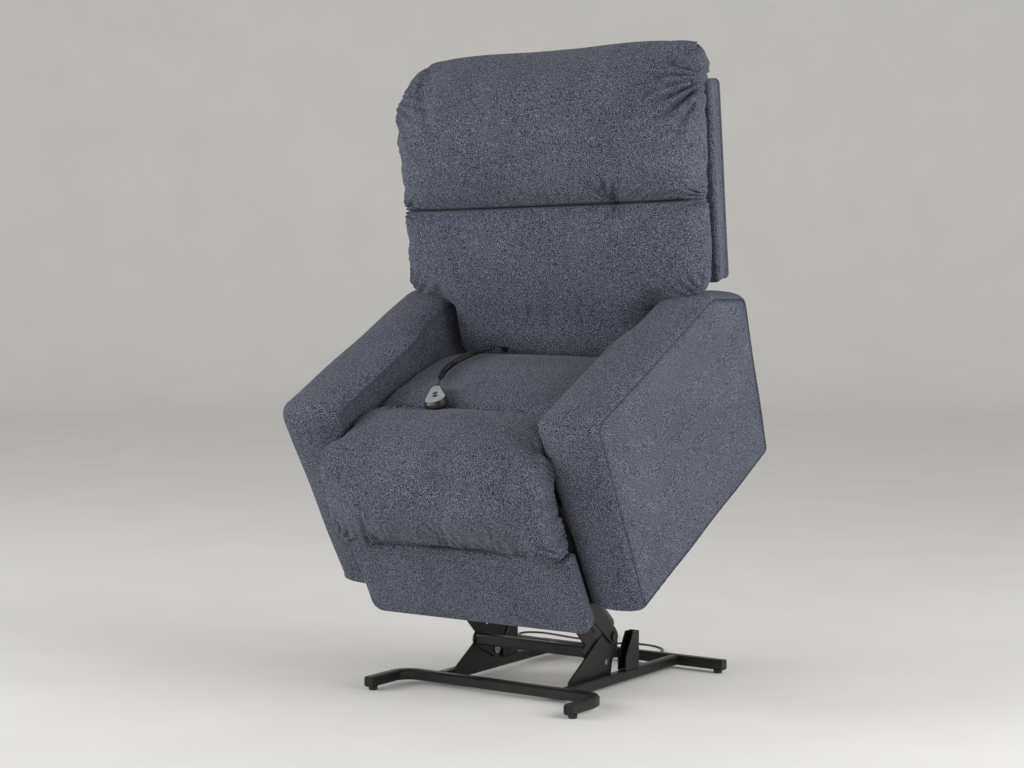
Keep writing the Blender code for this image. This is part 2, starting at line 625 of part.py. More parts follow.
def build_hinges(name, side):
    """Plates beside the cushions: fixed ones with stub pins on the deck, swinging ones on what moves."""
    low, high = mirrored(FIXED_PLATE, FIXED_OUTER, side)
    deck_low, deck_high = DECK_BOTTOM - 0.045, DECK_BOTTOM + DECK_THICK
    y, z = FOOT_HINGE
    neck = [(y - 0.015, z - 0.012), (y - 0.002, z - 0.017), (FRONT_BOARD_Y + 0.014, z - 0.060),
            (FRONT_BOARD_Y + BOARD_THICK + 0.010, deck_high), (FRONT_BOARD_Y + BOARD_THICK + 0.015, deck_low),
            (FRONT_BOARD_Y + 0.180, deck_low), (FRONT_BOARD_Y + 0.180, deck_high),
            (FRONT_BOARD_Y + 0.055, z - 0.030), (y + 0.012, z + 0.016), (y - 0.015, z + 0.012)]
    front = slab(f"footrest_bracket_{name}", rounded(neck, 0.008, 2), low, high, "x", STEEL, chair)
    y, z = BACK_HINGE
    heel = [(REAR_BOARD_Y + BOARD_THICK + 0.010, deck_low), (y - 0.040, deck_low), (y + 0.015, z - 0.016),
            (y + 0.018, z + 0.010), (y - 0.002, z + 0.018), (REAR_BOARD_Y + BOARD_THICK + 0.010, deck_high)]
    rear = slab(f"back_bracket_{name}", rounded(heel, 0.008, 2), low, high, "x", STEEL, chair)
    for plate, centre in ((front, FOOT_HINGE), (rear, BACK_HINGE)):
        stub = [placed(circle(centre, PIN_RADIUS), at * side, "x")
                for at in (SWING_PLATE, FIXED_OUTER - 0.001)]
        boolean(plate, tool(f"{plate.name}_stub", stub, chair), "UNION")

    low, high = mirrored(SWING_PLATE, SWING_PLATE + HINGE_PLATE, side)
    behind = BOARD_FRONT + BOARD_DEPTH + TOUCH
    foot_arm = rounded([(-0.017, -0.012), (-0.017, 0.012), (0.000, 0.018), (0.017, 0.008),
                        (behind + SWING_WIDTH, PAD_BOTTOM + 0.030), (behind + SWING_WIDTH, BOARD_BOTTOM + 0.040),
                        (behind, BOARD_BOTTOM + 0.040), (behind, PAD_BOTTOM + 0.020)], 0.010, 2)
    plate = slab(f"footrest_arm_{name}", foot_arm, low, high, "x", STEEL, footrest)
    bore(plate, [((0.0, 0.0), BORE)], low - TOUCH, high + TOUCH)
    back_arm = rounded([(-0.018, -0.014), (0.010, -0.020), (SHELL_FRONT + 0.050, 0.020),
                        (SHELL_FRONT + 0.050, 0.190), (SHELL_FRONT + 0.010, 0.190), (SHELL_FRONT, 0.060),
                        (-0.018, 0.014)], 0.010, 2)
    plate = slab(f"back_arm_{name}", back_arm, low, high, "x", STEEL, backrest)
    bore(plate, [((0.0, 0.0), BORE)], low - TOUCH, high + TOUCH)


# Upholstered pieces

def top_and_front(outward):
    return np.clip(np.maximum(-outward[:, 0], outward[:, 1]), 0.0, 1.0)


def build_arm(name, side):
    corners = [(0.0, 0.0), (ARM_REAR_BOTTOM, 0.0), ARM_REAR_TOP, ARM_TOP_REAR, (0.0, ARM_HEIGHT)]
    outline = rounded(corners, [0.008, 0.012, 0.030, 0.060, ARM_CORNER], 3)
    taper = (ARM_OUTER_TOP - ARM_OUTER_BOTTOM) / ARM_HEIGHT
    rings = []
    for share, inset in ((0.0, 0.024), (0.04, 0.009), (0.14, 0.001), (0.5, -ARM_CROWN), (0.88, -0.002),
                         (0.95, 0.001), (1.0, 0.006)):
        flat = drawn_in(outline, inset, top_and_front)
        outer = ARM_OUTER_BOTTOM + taper * flat[:, 1]
        across = INNER_HALF + share * (outer - INNER_HALF)
        rings.append(np.stack([across * side, flat[:, 0], flat[:, 1]], 1))
    loft(f"arm_{name}", rings, FABRIC, chair)


def end_inset(share):
    """How far a cushion's outline is drawn in at a share of its half width."""
    return SEAT_CROWN * share ** 2 + SEAT_EDGE * share ** 10


ACROSS = np.array([-1.0, -0.97, -0.90, -0.75, -0.45, 0.0, 0.45, 0.75, 0.90, 0.97, 1.0])


def cushion(name, outline, keep, parent):
    rings = [placed(drawn_in(outline, end_inset(share), keep), share * CUSHION_HALF, "x") for share in ACROSS]
    return loft(name, rings, FABRIC, parent, 60.0)


def thin_all_round(outward):
    return np.full(len(outward), 0.35)


def seat_outline():
    """The seat cushion's side view: a low crown, a sewn channel, and a thigh roll at the front."""
    bottom = DECK_BOTTOM + DECK_THICK + TOUCH
    front = FOOT_HINGE[0] + KNUCKLE + 0.003
    seam = ARM_HEIGHT - 0.074 - SEAM_DEPTH
    top = [(front + 0.004, 0.395), (front + 0.020, 0.420), (0.080, 0.430), (0.135, 0.424),
           (SEAM_Y - 0.016, 0.414), (SEAM_Y, seam), (SEAM_Y + 0.016, 0.412), (0.245, 0.414), (0.340, 0.404),
           (0.430, 0.386), (SEAT_REAR - 0.018, 0.366), (SEAT_REAR, 0.338)]
    base = [(SEAT_REAR - 0.002, 0.300), (SEAT_REAR - 0.010, bottom), (0.330, bottom), (0.170, bottom),
            (front + 0.012, bottom), (front + 0.001, 0.300)]
    smooth = closed_spline(top[::-1] + base[::-1], 2)
    smooth[:, 1] = np.maximum(smooth[:, 1], bottom)
    return smooth


def seat_height(x, y):
    """The seat's top at a place, from its side view and its crown."""
    outline = seat_outline()
    upper = outline[outline[:, 1] > DECK_BOTTOM + DECK_THICK + 0.09]
    upper = upper[np.argsort(upper[:, 0])]
    return np.interp(y, upper[:, 0], upper[:, 1]) - np.interp(x / CUSHION_HALF, ACROSS, end_inset(ACROSS))


def not_below(outward):
    return np.clip(outward[:, 1] + 0.6, 0.0, 1.0)


def build_seat():
    seat = cushion("seat_cushion", seat_outline(), not_below, chair)
    turn = np.linspace(math.radians(-5.0), math.radians(115.0), 6)
    knuckle = [(KNUCKLE * math.cos(t), KNUCKLE * math.sin(t)) for t in turn]
    front = [(-0.048, 0.008), (-0.062, -0.035), (-PAD_FRONT, -0.085), (-PAD_FRONT + 0.004, -0.135),
             (-0.050, -0.185), (-0.028, -0.218), (-0.004, PAD_BOTTOM), (0.018, -0.205), (0.026, -0.140),
             (0.030, -0.060)]
    cushion("leg_pad", closed_spline(knuckle + front, 2), thin_all_round, footrest)
    return seat


def build_board():
    """The flat upholstered footrest board under the leg pad, its lower corners well rounded."""
    half, top = BOARD_HALF, PAD_BOTTOM - 0.002
    corners = [(-half, BOARD_BOTTOM), (half, BOARD_BOTTOM), (half, top), (-half, top)]
    full = rounded(corners, [BOARD_CORNER, BOARD_CORNER, 0.006, 0.006], 4)
    soft = rounded([(x - math.copysign(0.006, x), z + 0.006 * (1 if z < top else -1)) for x, z in corners],
                   [BOARD_CORNER - 0.006, BOARD_CORNER - 0.006, 0.004, 0.004], 4)
    back = BOARD_FRONT + BOARD_DEPTH
    rings = [placed(soft, BOARD_FRONT, "y"), placed(full, BOARD_FRONT + 0.007, "y"), placed(full, back, "y")]
    loft("footrest_board", rings, FABRIC, footrest)


def pillow_ring(height, half, depth, roll):
    """A soft-cornered section of the back cushion, widest half way through its depth."""
    turn = np.linspace(0.0, 2.0 * math.pi, BACK_POINTS, endpoint=False)
    across = np.sign(np.cos(turn)) * np.abs(np.cos(turn)) ** 0.5
    through_depth = np.sign(np.sin(turn)) * np.abs(np.sin(turn)) ** 0.5
    front, rear = SHELL_FRONT - TOUCH - depth, SHELL_FRONT - TOUCH + roll
    return np.stack([half * across, 0.5 * (front + rear) + 0.5 * (rear - front) * through_depth,
                     np.full(BACK_POINTS, height)], 1)


def build_back():
    wide, slim = SHELL_HALF, CUSHION_HALF
    corners = [(-slim, SHELL_BOTTOM), (slim, SHELL_BOTTOM), (slim, WING_BOTTOM), (wide, WING_BOTTOM),
               (wide, SHELL_TOP), (-wide, SHELL_TOP), (-wide, WING_BOTTOM), (-slim, WING_BOTTOM)]
    outline = rounded(corners, [0.02, 0.02, 0.004, 0.012, 0.03, 0.03, 0.012, 0.004], 2)
    slab("back_shell", outline, SHELL_FRONT, SHELL_FRONT + SHELL_THICK, "y", FABRIC, backrest)

    # Height up the back, half width, depth before the shell, and roll behind its front plane
    full, deep, channel = BACK_HALF, BACK_DEPTH, BACK_SEAM_DEPTH
    ramp = WING_BOTTOM - 0.004
    over = SHELL_TOP + TOUCH
    stations = [
        (BACK_BOTTOM, slim - 0.026, 0.070, 0.0),
        (BACK_BOTTOM + 0.012, slim - 0.010, 0.102, 0.0),
        (BACK_BOTTOM + 0.040, slim, 0.128, 0.0),
        (BACK_BOTTOM + 0.080, slim, deep - 0.008, 0.0),
        (BACK_BOTTOM + 0.135, slim, deep, 0.0),
        (ramp - 0.006, slim, deep, 0.0),
        (ramp, slim + 0.070, deep, 0.0),
        (ramp + 0.012, full - 0.026, deep, 0.0),
        (ramp + 0.042, full - 0.006, deep, 0.0),
        (0.5 * (ramp + BACK_SEAM), full, deep, 0.0),
        (BACK_SEAM - 0.032, full - 0.004, deep - 0.005, 0.0),
        (BACK_SEAM - 0.009, full - 0.010, deep - 0.4 * channel, 0.0),
        (BACK_SEAM, full - 0.013, deep - channel, 0.0),
        (BACK_SEAM + 0.009, full - 0.010, deep - 0.4 * channel, 0.0),
        (BACK_SEAM + 0.036, full - 0.002, deep - 0.002, 0.0),
        (BACK_SEAM + 0.090, full, deep + 0.006, 0.0),
        (BACK_SEAM + 0.180, full, deep + 0.006, 0.0),
        (over - 0.038, full - 0.006, deep - 0.012, 0.0),
        (over, full - 0.016, deep - 0.030, 0.0),
        (over + 0.001, full - 0.017, deep - 0.031, 0.030),
        (over + 0.036, full - 0.034, deep - 0.060, 0.050),
        (over + 0.066, full - 0.064, deep - 0.088, 0.048),
        (BACK_TOP - 0.009, full - 0.104, deep - 0.112, 0.032),
        (BACK_TOP, full - 0.156, deep - 0.134, 0.012)]
    loft("back_cushion", [pillow_ring(*station) for station in stations], FABRIC, backrest, 60.0)


# Handset and its curly cord

handset = empty("handset", chair, (*HANDSET_PLACE, 0.0))
handset.rotation_euler = (HANDSET_PITCH, 0.0, HANDSET_TURN)


def handset_outline(inset):
    wide = (0.0, -HANDSET_LENGTH / 2 + HANDSET_WIDE)
    slim = (0.0, HANDSET_LENGTH / 2 - HANDSET_SLIM)
    return hull(wide, HANDSET_WIDE - inset, slim, HANDSET_SLIM - inset)


def build_handset():
    """The wide end points to the front of the seat; the whole lies on the seat's own surface."""
    bottom = handset_outline(0.006)
    cosine, sine = math.cos(HANDSET_TURN), math.sin(HANDSET_TURN)
    level = 0.0
    for grow in (1.0, 0.6, 0.2):
        for x, y in bottom * grow:
            tipped = y * math.cos(HANDSET_PITCH)
            spot_x = HANDSET_PLACE[0] + x * cosine - tipped * sine
            spot_y = HANDSET_PLACE[1] + x * sine + tipped * cosine
            level = max(level, seat_height(spot_x, spot_y) - y * math.sin(HANDSET_PITCH))
    handset.location.z = level + TOUCH

    rings = [placed(handset_outline(inset), at, "z") for at, inset in
             ((0.0, 0.006), (0.004, 0.0005), (0.009, 0.0), (0.016, 0.001), (HANDSET_THICK, 0.004))]
    case = loft("handset_case", rings, BLACK_PLASTIC, handset)
    low, high = HANDSET_THICK + TOUCH, HANDSET_THICK + TOUCH + FACE_THICK
    face = slab("handset_face", handset_outline(FACE_INSET), low, high, "z", SILVER_PLASTIC, handset)
    well_bottom = HANDSET_THICK - BUTTON_TRAVEL - 0.003
    wells = [((0.0, place), BUTTON_RADIUS + 0.0004) for place in BUTTON_PLACES.values()]
    bore(face, wells, low - 0.001, high + 0.001, "z")
    bore(case, wells, well_bottom, HANDSET_THICK + 0.002, "z")
    for name, place in BUTTON_PLACES.items():
        profile = [(well_bottom + BUTTON_TRAVEL + 0.0005, BUTTON_RADIUS), (high + 0.0010, BUTTON_RADIUS),
                   (high + BUTTON_TRAVEL + 0.0003, BUTTON_RADIUS * 0.75)]
        turned(f"button_{name}", profile, (0.0, place), "z", BLACK_PLASTIC, handset)


def straight_then(points, start, start_heading, end, end_heading, run):
    """A cord's route with a straight stretch square to each face that it meets."""
    return np.array([start, start + run * start_heading, *points, end + run * end_heading, end])


def least_self_gap(path, radius, apart):
    """The least clear space between stretches of a tube that lie further apart along it than given."""
    path = np.asarray(path)
    along = np.concatenate([[0.0], np.cumsum(np.linalg.norm(np.diff(path, axis=0), axis=1))])
    least = math.inf
    for at in range(len(path)):
        far = np.abs(along - along[at]) > apart
        if far.any():
            least = min(least, float(np.linalg.norm(path[far] - path[at], axis=1).min()))
    return least - 2.0 * radius


def frame_along(path):
    """Two directions square to a path at each of its points, carried along it without twist."""
    heading = np.gradient(path, axis=0)
    heading /= np.linalg.norm(heading, axis=1)[:, None]
    first = np.zeros_like(path)
    first[0] = np.cross(heading[0], (0.0, 0.0, 1.0))
    for at in range(1, len(path)):
        first[at] = first[at - 1]
        first[at] -= heading[at] * (first[at] @ heading[at])
        first[at] /= np.linalg.norm(first[at])
    first[0] /= np.linalg.norm(first[0])
    return heading, first, np.cross(heading, first)


def build_handset_cord(seat):
    bpy.context.view_layer.update()
    to_chair = chair.matrix_world.inverted() @ handset.matrix_world
    radius = CURL_WIRE / 2
    start = np.array(to_chair @ Vector((0.0, HANDSET_LENGTH / 2 + TOUCH, HANDSET_THICK * 0.45)))
    leave = np.array(to_chair.to_3x3() @ Vector((0.0, 1.0, 0.0)))
    axis = Vector((0.36, 0.62, -0.70)).normalized()
    mouth = np.array([-0.112, 0.4695, 0.3885])

    # The grommet sits in a pocket of the seat's rear edge, and the cord goes into it.
    depth, width = 0.012, 0.0065
    turn = Vector((0.0, 0.0, 1.0)).rotation_difference(axis).to_matrix()

    def barrel(low, high, reach):
        return [[mouth + np.array(turn @ Vector((*spot, at))) for spot in circle((0.0, 0.0), reach)]
                for at in (low, high)]

    loft("cord_grommet", barrel(TOUCH, depth, width), BLACK_RUBBER, chair)
    boolean(seat, tool("grommet_pocket", barrel(-0.020, depth + TOUCH, width + TOUCH), chair), "DIFFERENCE")

    middle = open_spline(HANDSET_CORD, 24)
    along = np.concatenate([[0.0], np.cumsum(np.linalg.norm(np.diff(middle, axis=0), axis=1))])
    count = CURLS * CURL_POINTS + 1
    even = np.linspace(0.0, along[-1], count)
    centre = np.stack([np.interp(even, along, middle[:, k]) for k in range(3)], 1)
    _, first, second = frame_along(centre)
    turn = np.arange(count) * 2.0 * math.pi / CURL_POINTS
    ease = np.clip(np.minimum(even, along[-1] - even) / 0.006, 0.0, 1.0)
    reach = (CURL_OUTER / 2 - radius) * ease
    curls = centre + reach[:, None] * (np.cos(turn)[:, None] * first + np.sin(turn)[:, None] * second)
    into = np.array(axis)
    lead_in = open_spline([start, start + leave * CURL_WIRE, start + leave * 0.012, curls[0]], 3)[:-1]
    lead_out = open_spline([curls[-1], mouth - into * 0.008, mouth - into * CURL_WIRE, mouth], 3)[1:]
    path = np.concatenate([lead_in, curls, lead_out])
    tube_along("handset_cord", path, radius, BLACK_RUBBER, chair, 1)
    gap = 1000 * least_self_gap(path, radius, 0.014)
    print(f"handset cord: {CURLS} curls, least gap to itself {gap:.2f} mm")


# Power lead with its coil and plug

def build_power_lead():
    radius = LEAD / 2
    start = np.array([POWER_LEAD[0][0], REAR_TUBE_Y + TUBE / 2 + 0.034 + TOUCH, POWER_LEAD[0][2]])
    relief = [(REAR_TUBE_Y + TUBE / 2 + TOUCH, 0.0085), (REAR_TUBE_Y + TUBE / 2 + 0.010, 0.0085),
              (REAR_TUBE_Y + TUBE / 2 + 0.010, 0.0060), (REAR_TUBE_Y + TUBE / 2 + 0.034, 0.0040)]
    turned("lead_inlet", relief, (start[0], start[2]), "y", BLACK_RUBBER, root)

    # Two layers of turns: out on the floor, up in half a turn, and in again on top.
    step = LEAD + 0.0012
    half_turns = LOOP_POINTS * COIL_TURNS
    spread = np.arange(half_turns + 1) / LOOP_POINTS
    out_radius = COIL_INNER + radius + step * spread[::-1]
    angle = math.radians(-90.0) + 2.0 * math.pi * spread
    rest = radius + TOUCH
    floor = np.stack([out_radius * np.cos(angle), out_radius * np.sin(angle), np.full(len(angle), rest)], 1)
    climb = np.arange(1, LOOP_POINTS // 2) / (LOOP_POINTS // 2)
    up_angle = angle[-1] + math.pi * climb
    rise = rest + step * (3 * climb ** 2 - 2 * climb ** 3)
    up = np.stack([out_radius[-1] * np.cos(up_angle), out_radius[-1] * np.sin(up_angle), rise], 1)
    top_angle = angle[-1] + math.pi + 2.0 * math.pi * spread
    top_radius = COIL_INNER + radius + step * spread
    top = np.stack([top_radius * np.cos(top_angle), top_radius * np.sin(top_angle),
                    np.full(len(angle), rest + step)], 1)
    coil = np.concatenate([floor, up, top]) + (*COIL_PLACE, 0.0)
    first, last = coil[0] - coil[1], coil[-1] - coil[-2]
    first, last = first / np.linalg.norm(first), last / np.linalg.norm(last)
    coil = np.concatenate([[coil[0] + first * LEAD], coil, [coil[-1] + last * PLUG_RUN]])
    tube_along("lead_coil", coil, radius, BLACK_RUBBER, root, 1)
    gap = 1000 * least_self_gap(coil, radius, 0.05)
    print(f"power lead coil: {2 * COIL_TURNS} loops, least gap to itself {gap:.2f} mm")

    backwards = np.array([0.0, 1.0, 0.0])
    route = straight_then(POWER_LEAD[1:], start, backwards, coil[0] + first * TOUCH, first, LEAD)
    lead = open_spline(route, 3)
    lead[:, 2] = np.maximum(lead[:, 2], radius)
    tube_along("power_lead", lead, radius, BLACK_RUBBER, root, 2)

    # The plug: a body with two flat blades, where the cord comes off the coil.
    side = np.array([-last[1], last[0], 0.0])
    up = np.array([0.0, 0.0, 1.0])

    def section(at, wide, tall):
        centre = coil[-1] + last * at
        outline = box_outline(-wide / 2, wide / 2, -tall / 2, tall / 2, min(wide, tall) * 0.25, 2)
        return [centre + spot[0] * side + spot[1] * up for spot in outline]

    stations = [(TOUCH, 0.0070, 0.0070), (0.016, 0.0080, 0.0080), (0.0165, 0.0140, 0.0140),
                (0.022, 0.0220, 0.0150), (0.040, 0.0240, 0.0150), (0.042, 0.0220, 0.0135)]
    plug = loft("plug", [section(*station) for station in stations], BLACK_PLASTIC, root)
    for name, offset in (("near", -0.00635), ("far", 0.00635)):
        rings = []
        for at in (0.040, 0.058):
            centre = coil[-1] + last * at + offset * side
            rings.append([centre + a * side + b * up for a, b in box_outline(-0.0008, 0.0008, -0.003, 0.003)])
        boolean(plug, tool(f"plug_blade_{name}", rings, root), "UNION")


def centre_on_floor():
    """Moves the whole chair so that the middle of its own pieces, cords aside, is over the origin."""
    bpy.context.view_layer.update()
    loose = {"plug"}
    reach = []
    for made in bpy.data.objects:
        if made.type == "MESH" and not made.hide_render and made.name not in loose:
            reach += [(made.matrix_world @ vertex.co).y for vertex in made.data.vertices]
    root.location.y = -0.5 * (min(reach) + max(reach))
    bpy.context.view_layer.update()


build_base()
build_lift_links()
build_actuator()
build_structure()
for side_name, side_sign in SIDES.items():
    build_riser(side_name, side_sign)
    build_rear_post(side_name, side_sign)
    build_hinges(side_name, side_sign)
    build_arm(side_name, side_sign)
seat_piece = build_seat()
build_board()
build_back()
build_handset()
build_handset_cord(seat_piece)
build_power_lead()
centre_on_floor()

print(f"lift: lower links turn {math.degrees(lowered()):.3f} degrees from lifted to lowered")
for pivot in (low_links, up_links, chair, footrest, backrest, actuator, rod, handset):
    print(pivot.name, [round(value, 5) for value in pivot.matrix_world.translation])
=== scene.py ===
import json
import math

import bpy
import numpy as np
from mathutils import Matrix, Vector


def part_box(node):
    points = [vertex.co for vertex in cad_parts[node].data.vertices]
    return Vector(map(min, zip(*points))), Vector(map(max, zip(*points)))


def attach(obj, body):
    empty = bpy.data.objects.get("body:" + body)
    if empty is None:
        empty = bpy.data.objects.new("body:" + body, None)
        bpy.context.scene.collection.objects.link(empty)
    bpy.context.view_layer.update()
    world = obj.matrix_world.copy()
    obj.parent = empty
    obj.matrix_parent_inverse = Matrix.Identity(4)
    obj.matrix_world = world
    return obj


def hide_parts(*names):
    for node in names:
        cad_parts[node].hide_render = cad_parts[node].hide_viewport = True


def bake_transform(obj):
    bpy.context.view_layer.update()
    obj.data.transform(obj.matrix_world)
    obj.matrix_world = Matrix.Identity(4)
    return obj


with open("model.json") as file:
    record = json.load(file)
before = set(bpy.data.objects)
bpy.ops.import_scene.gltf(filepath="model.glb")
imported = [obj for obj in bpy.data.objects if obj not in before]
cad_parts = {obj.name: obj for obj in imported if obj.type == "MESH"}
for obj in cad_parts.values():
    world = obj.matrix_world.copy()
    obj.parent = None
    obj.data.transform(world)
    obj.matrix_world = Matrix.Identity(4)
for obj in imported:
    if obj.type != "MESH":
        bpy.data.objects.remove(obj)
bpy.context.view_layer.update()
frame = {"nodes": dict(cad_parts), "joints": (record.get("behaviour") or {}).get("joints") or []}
scene = bpy.context.scene
nodes = frame["nodes"]
pivots = {joint["name"]: np.array(joint["pos_m"]) for joint in frame["joints"] if "pos_m" in joint}
print("frame loaded:", len(nodes), "nodes")

# how the lifted chair stands: degrees the seat tips forward, degrees the back leans from it,
# and where the hinges are in the seat's own axes (across, back, up)
stance = {
    "lift": 28.0,
    "lean": -21.5,
    "backHinge": (0.0, 0.550, 0.250),
    "footHinge": (0.0, -0.045, 0.385),
    "actuatorY": 0.260,
}


def turned(points, degrees):
    # a turn about the X axis: y and z swap over by sine and cosine
    c, s = math.cos(math.radians(degrees)), math.sin(math.radians(degrees))
    points = np.asarray(points, float)
    x, y, z = points[..., 0], points[..., 1], points[..., 2]
    return np.stack([x, c * y - s * z, s * y + c * z], -1)


seatOrigin = pivots["back_recline"] - turned(stance["backHinge"], stance["lift"])
floorShift = np.array([0.0, pivots["actuator_swing"][1] - stance["actuatorY"], 0.0])


def fromSeat(points):
    return turned(points, stance["lift"]) + seatOrigin


def fromBack(points):
    return fromSeat(turned(points, stance["lean"]) + np.array(stance["backHinge"]))


# camera at the photograph's angle, frame taken as 1024 by 768
view = {"place": (2.8797, -4.3813, 1.0494), "yaw": 34.203, "down": 3.574, "focalPixels": 2182.4}


def makeCamera(view):
    data = bpy.data.cameras.new("photoCamera")
    data.sensor_fit = "HORIZONTAL"
    data.sensor_width = 36.0
    data.lens = view["focalPixels"] * 36.0 / 1024.0
    data.clip_end = 60.0
    camera = bpy.data.objects.new("photoCamera", data)
    scene.collection.objects.link(camera)
    yaw, down = math.radians(view["yaw"]), math.radians(view["down"])
    right = np.array([math.cos(yaw), math.sin(yaw), 0.0])
    ahead = np.array([-math.sin(yaw) * math.cos(down), math.cos(yaw) * math.cos(down), -math.sin(down)])
    up = np.cross(right, ahead)
    place = np.array(view["place"]) + floorShift
    rows = np.stack([right, up, -ahead, place], 1)
    camera.matrix_world = Matrix(rows.tolist() + [[0.0, 0.0, 0.0, 1.0]])
    scene.camera = camera


makeCamera(view)
print("camera set")


# node helpers for the finishes

def newFinish(name, colour, roughness, metallic=0.0, sheen=0.0, specular=0.5):
    made = bpy.data.materials.new(name)
    made.use_nodes = True
    shader = made.node_tree.nodes["Principled BSDF"]
    shader.inputs["Base Color"].default_value = (*colour, 1.0)
    shader.inputs["Roughness"].default_value = roughness
    shader.inputs["Metallic"].default_value = metallic
    shader.inputs["Sheen Weight"].default_value = sheen
    shader.inputs["Sheen Roughness"].default_value = 0.45
    shader.inputs["Specular IOR Level"].default_value = specular
    made.diffuse_color = (*colour, 1.0)
    return made, made.node_tree, shader


def noiseOf(tree, scale, detail=2.0, stretch=(1.0, 1.0, 1.0), turn=(0.0, 0.0, 0.0), rough=0.5):
    coords = tree.nodes.new("ShaderNodeTexCoord")
    mapping = tree.nodes.new("ShaderNodeMapping")
    mapping.inputs["Scale"].default_value = stretch
    mapping.inputs["Rotation"].default_value = turn
    noise = tree.nodes.new("ShaderNodeTexNoise")
    noise.inputs["Scale"].default_value = scale
    noise.inputs["Detail"].default_value = detail
    noise.inputs["Roughness"].default_value = rough
    tree.links.new(coords.outputs["Object"], mapping.inputs["Vector"])
    tree.links.new(mapping.outputs["Vector"], noise.inputs["Vector"])
    return noise.outputs["Fac"]


def mathOf(tree, operation, a, b):
    node = tree.nodes.new("ShaderNodeMath")
    node.operation = operation
    for socket, value in zip(node.inputs, (a, b)):
        if isinstance(value, (int, float)):
            socket.default_value = value
        else:
            tree.links.new(value, socket)
    return node.outputs[0]


def rampOf(tree, fac, stops):
    ramp = tree.nodes.new("ShaderNodeValToRGB")
    marks = ramp.color_ramp.elements
    while len(marks) < len(stops):
        marks.new(0.5)
    for mark, (at, colour) in zip(marks, stops):
        mark.position = at
        mark.color = (*colour, 1.0)
    tree.links.new(fac, ramp.inputs["Fac"])
    return ramp.outputs["Color"]


def rangeOf(tree, fac, low, high, start=0.3, end=0.7):
    node = tree.nodes.new("ShaderNodeMapRange")
    node.inputs["From Min"].default_value = start
    node.inputs["From Max"].default_value = end
    node.inputs["To Min"].default_value = low
    node.inputs["To Max"].default_value = high
    tree.links.new(fac, node.inputs["Value"])
    return node.outputs["Result"]


def bumpOf(tree, height, strength, distance, under=None):
    bump = tree.nodes.new("ShaderNodeBump")
    bump.inputs["Strength"].default_value = strength
    bump.inputs["Distance"].default_value = distance
    tree.links.new(height, bump.inputs["Height"])
    if under is not None:
        tree.links.new(under, bump.inputs["Normal"])
    return bump.outputs["Normal"]


# slate weave: flecked yarn, a few millimetres across, over a slow change of tone
weave = {
    "dark": (0.012, 0.014, 0.021),
    "middle": (0.053, 0.060, 0.088),
    "light": (0.190, 0.203, 0.256),
    # near-black colour for sewn lines, also used as painted shade in the creases beside them
    "threadAndShade": (0.010, 0.011, 0.016),
    "fleck": 500.0,
    "yarn": 1100.0,
    "tone": 7.0,
    "sheen": 0.08,
}


def slateWeave(name, weave):
    made, tree, shader = newFinish(name, weave["middle"], 0.93, sheen=weave["sheen"], specular=0.25)
    fleck = noiseOf(tree, weave["fleck"], 1.0)
    yarn = noiseOf(tree, weave["yarn"], 1.0, (1.0, 1.0, 0.45))
    tone = noiseOf(tree, weave["tone"], 3.0)
    mixed = mathOf(tree, "ADD", mathOf(tree, "MULTIPLY", fleck, 0.74), mathOf(tree, "MULTIPLY", yarn, 0.20))
    mixed = mathOf(tree, "ADD", mixed, mathOf(tree, "MULTIPLY", tone, 0.06))
    stops = [(0.41, weave["dark"]), (0.50, weave["middle"]), (0.59, weave["light"])]
    flecked = rampOf(tree, mixed, stops)

    # the sewn lines, with painted shade in the creases and channels along them, are set on the piece as an
    # attribute named seam and are darker than the cloth
    seamAndShade = tree.nodes.new("ShaderNodeAttribute")
    seamAndShade.attribute_name = "seam"
    blend = tree.nodes.new("ShaderNodeMix")
    blend.data_type = "RGBA"
    blend.inputs["B"].default_value = (*weave["threadAndShade"], 1.0)
    tree.links.new(seamAndShade.outputs["Fac"], blend.inputs["Factor"])
    tree.links.new(flecked, blend.inputs["A"])
    tree.links.new(blend.outputs["Result"], shader.inputs["Base Color"])
    tree.links.new(rangeOf(tree, yarn, 0.86, 0.98), shader.inputs["Roughness"])
    nap = bumpOf(tree, fleck, 0.35, 0.0012)
    tree.links.new(bumpOf(tree, yarn, 0.30, 0.0005, nap), shader.inputs["Normal"])
    return made


# satin powder coat with a fine orange peel, rubbed a little paler
coat = {"dark": (0.0075, 0.0070, 0.0068), "pale": (0.017, 0.016, 0.0155), "peel": 900.0, "rub": 16.0}


def powderCoat(coat):
    made, tree, shader = newFinish("powderCoat", coat["dark"], 0.40, 0.25)
    rub = noiseOf(tree, coat["rub"], 4.0)
    peel = noiseOf(tree, coat["peel"], 2.0)
    stops = [(0.38, coat["dark"]), (0.70, coat["pale"])]
    tree.links.new(rampOf(tree, rub, stops), shader.inputs["Base Color"])
    tree.links.new(rangeOf(tree, rub, 0.32, 0.50), shader.inputs["Roughness"])
    tree.links.new(bumpOf(tree, peel, 0.12, 0.0004), shader.inputs["Normal"])
    return made


# plated and ground steel: fine turning marks along one way, faint cloudy stain
def platedSteel(name, dark, pale, roughness, stretch):
    made, tree, shader = newFinish(name, pale, roughness, 1.0)
    cloud = noiseOf(tree, 60.0, 3.0)
    marks = noiseOf(tree, 700.0, 2.0, stretch)
    tree.links.new(rampOf(tree, cloud, [(0.35, dark), (0.62, pale)]), shader.inputs["Base Color"])
    tree.links.new(rangeOf(tree, marks, roughness - 0.06, roughness + 0.10), shader.inputs["Roughness"])
    tree.links.new(bumpOf(tree, marks, 0.10, 0.0002), shader.inputs["Normal"])
    return made


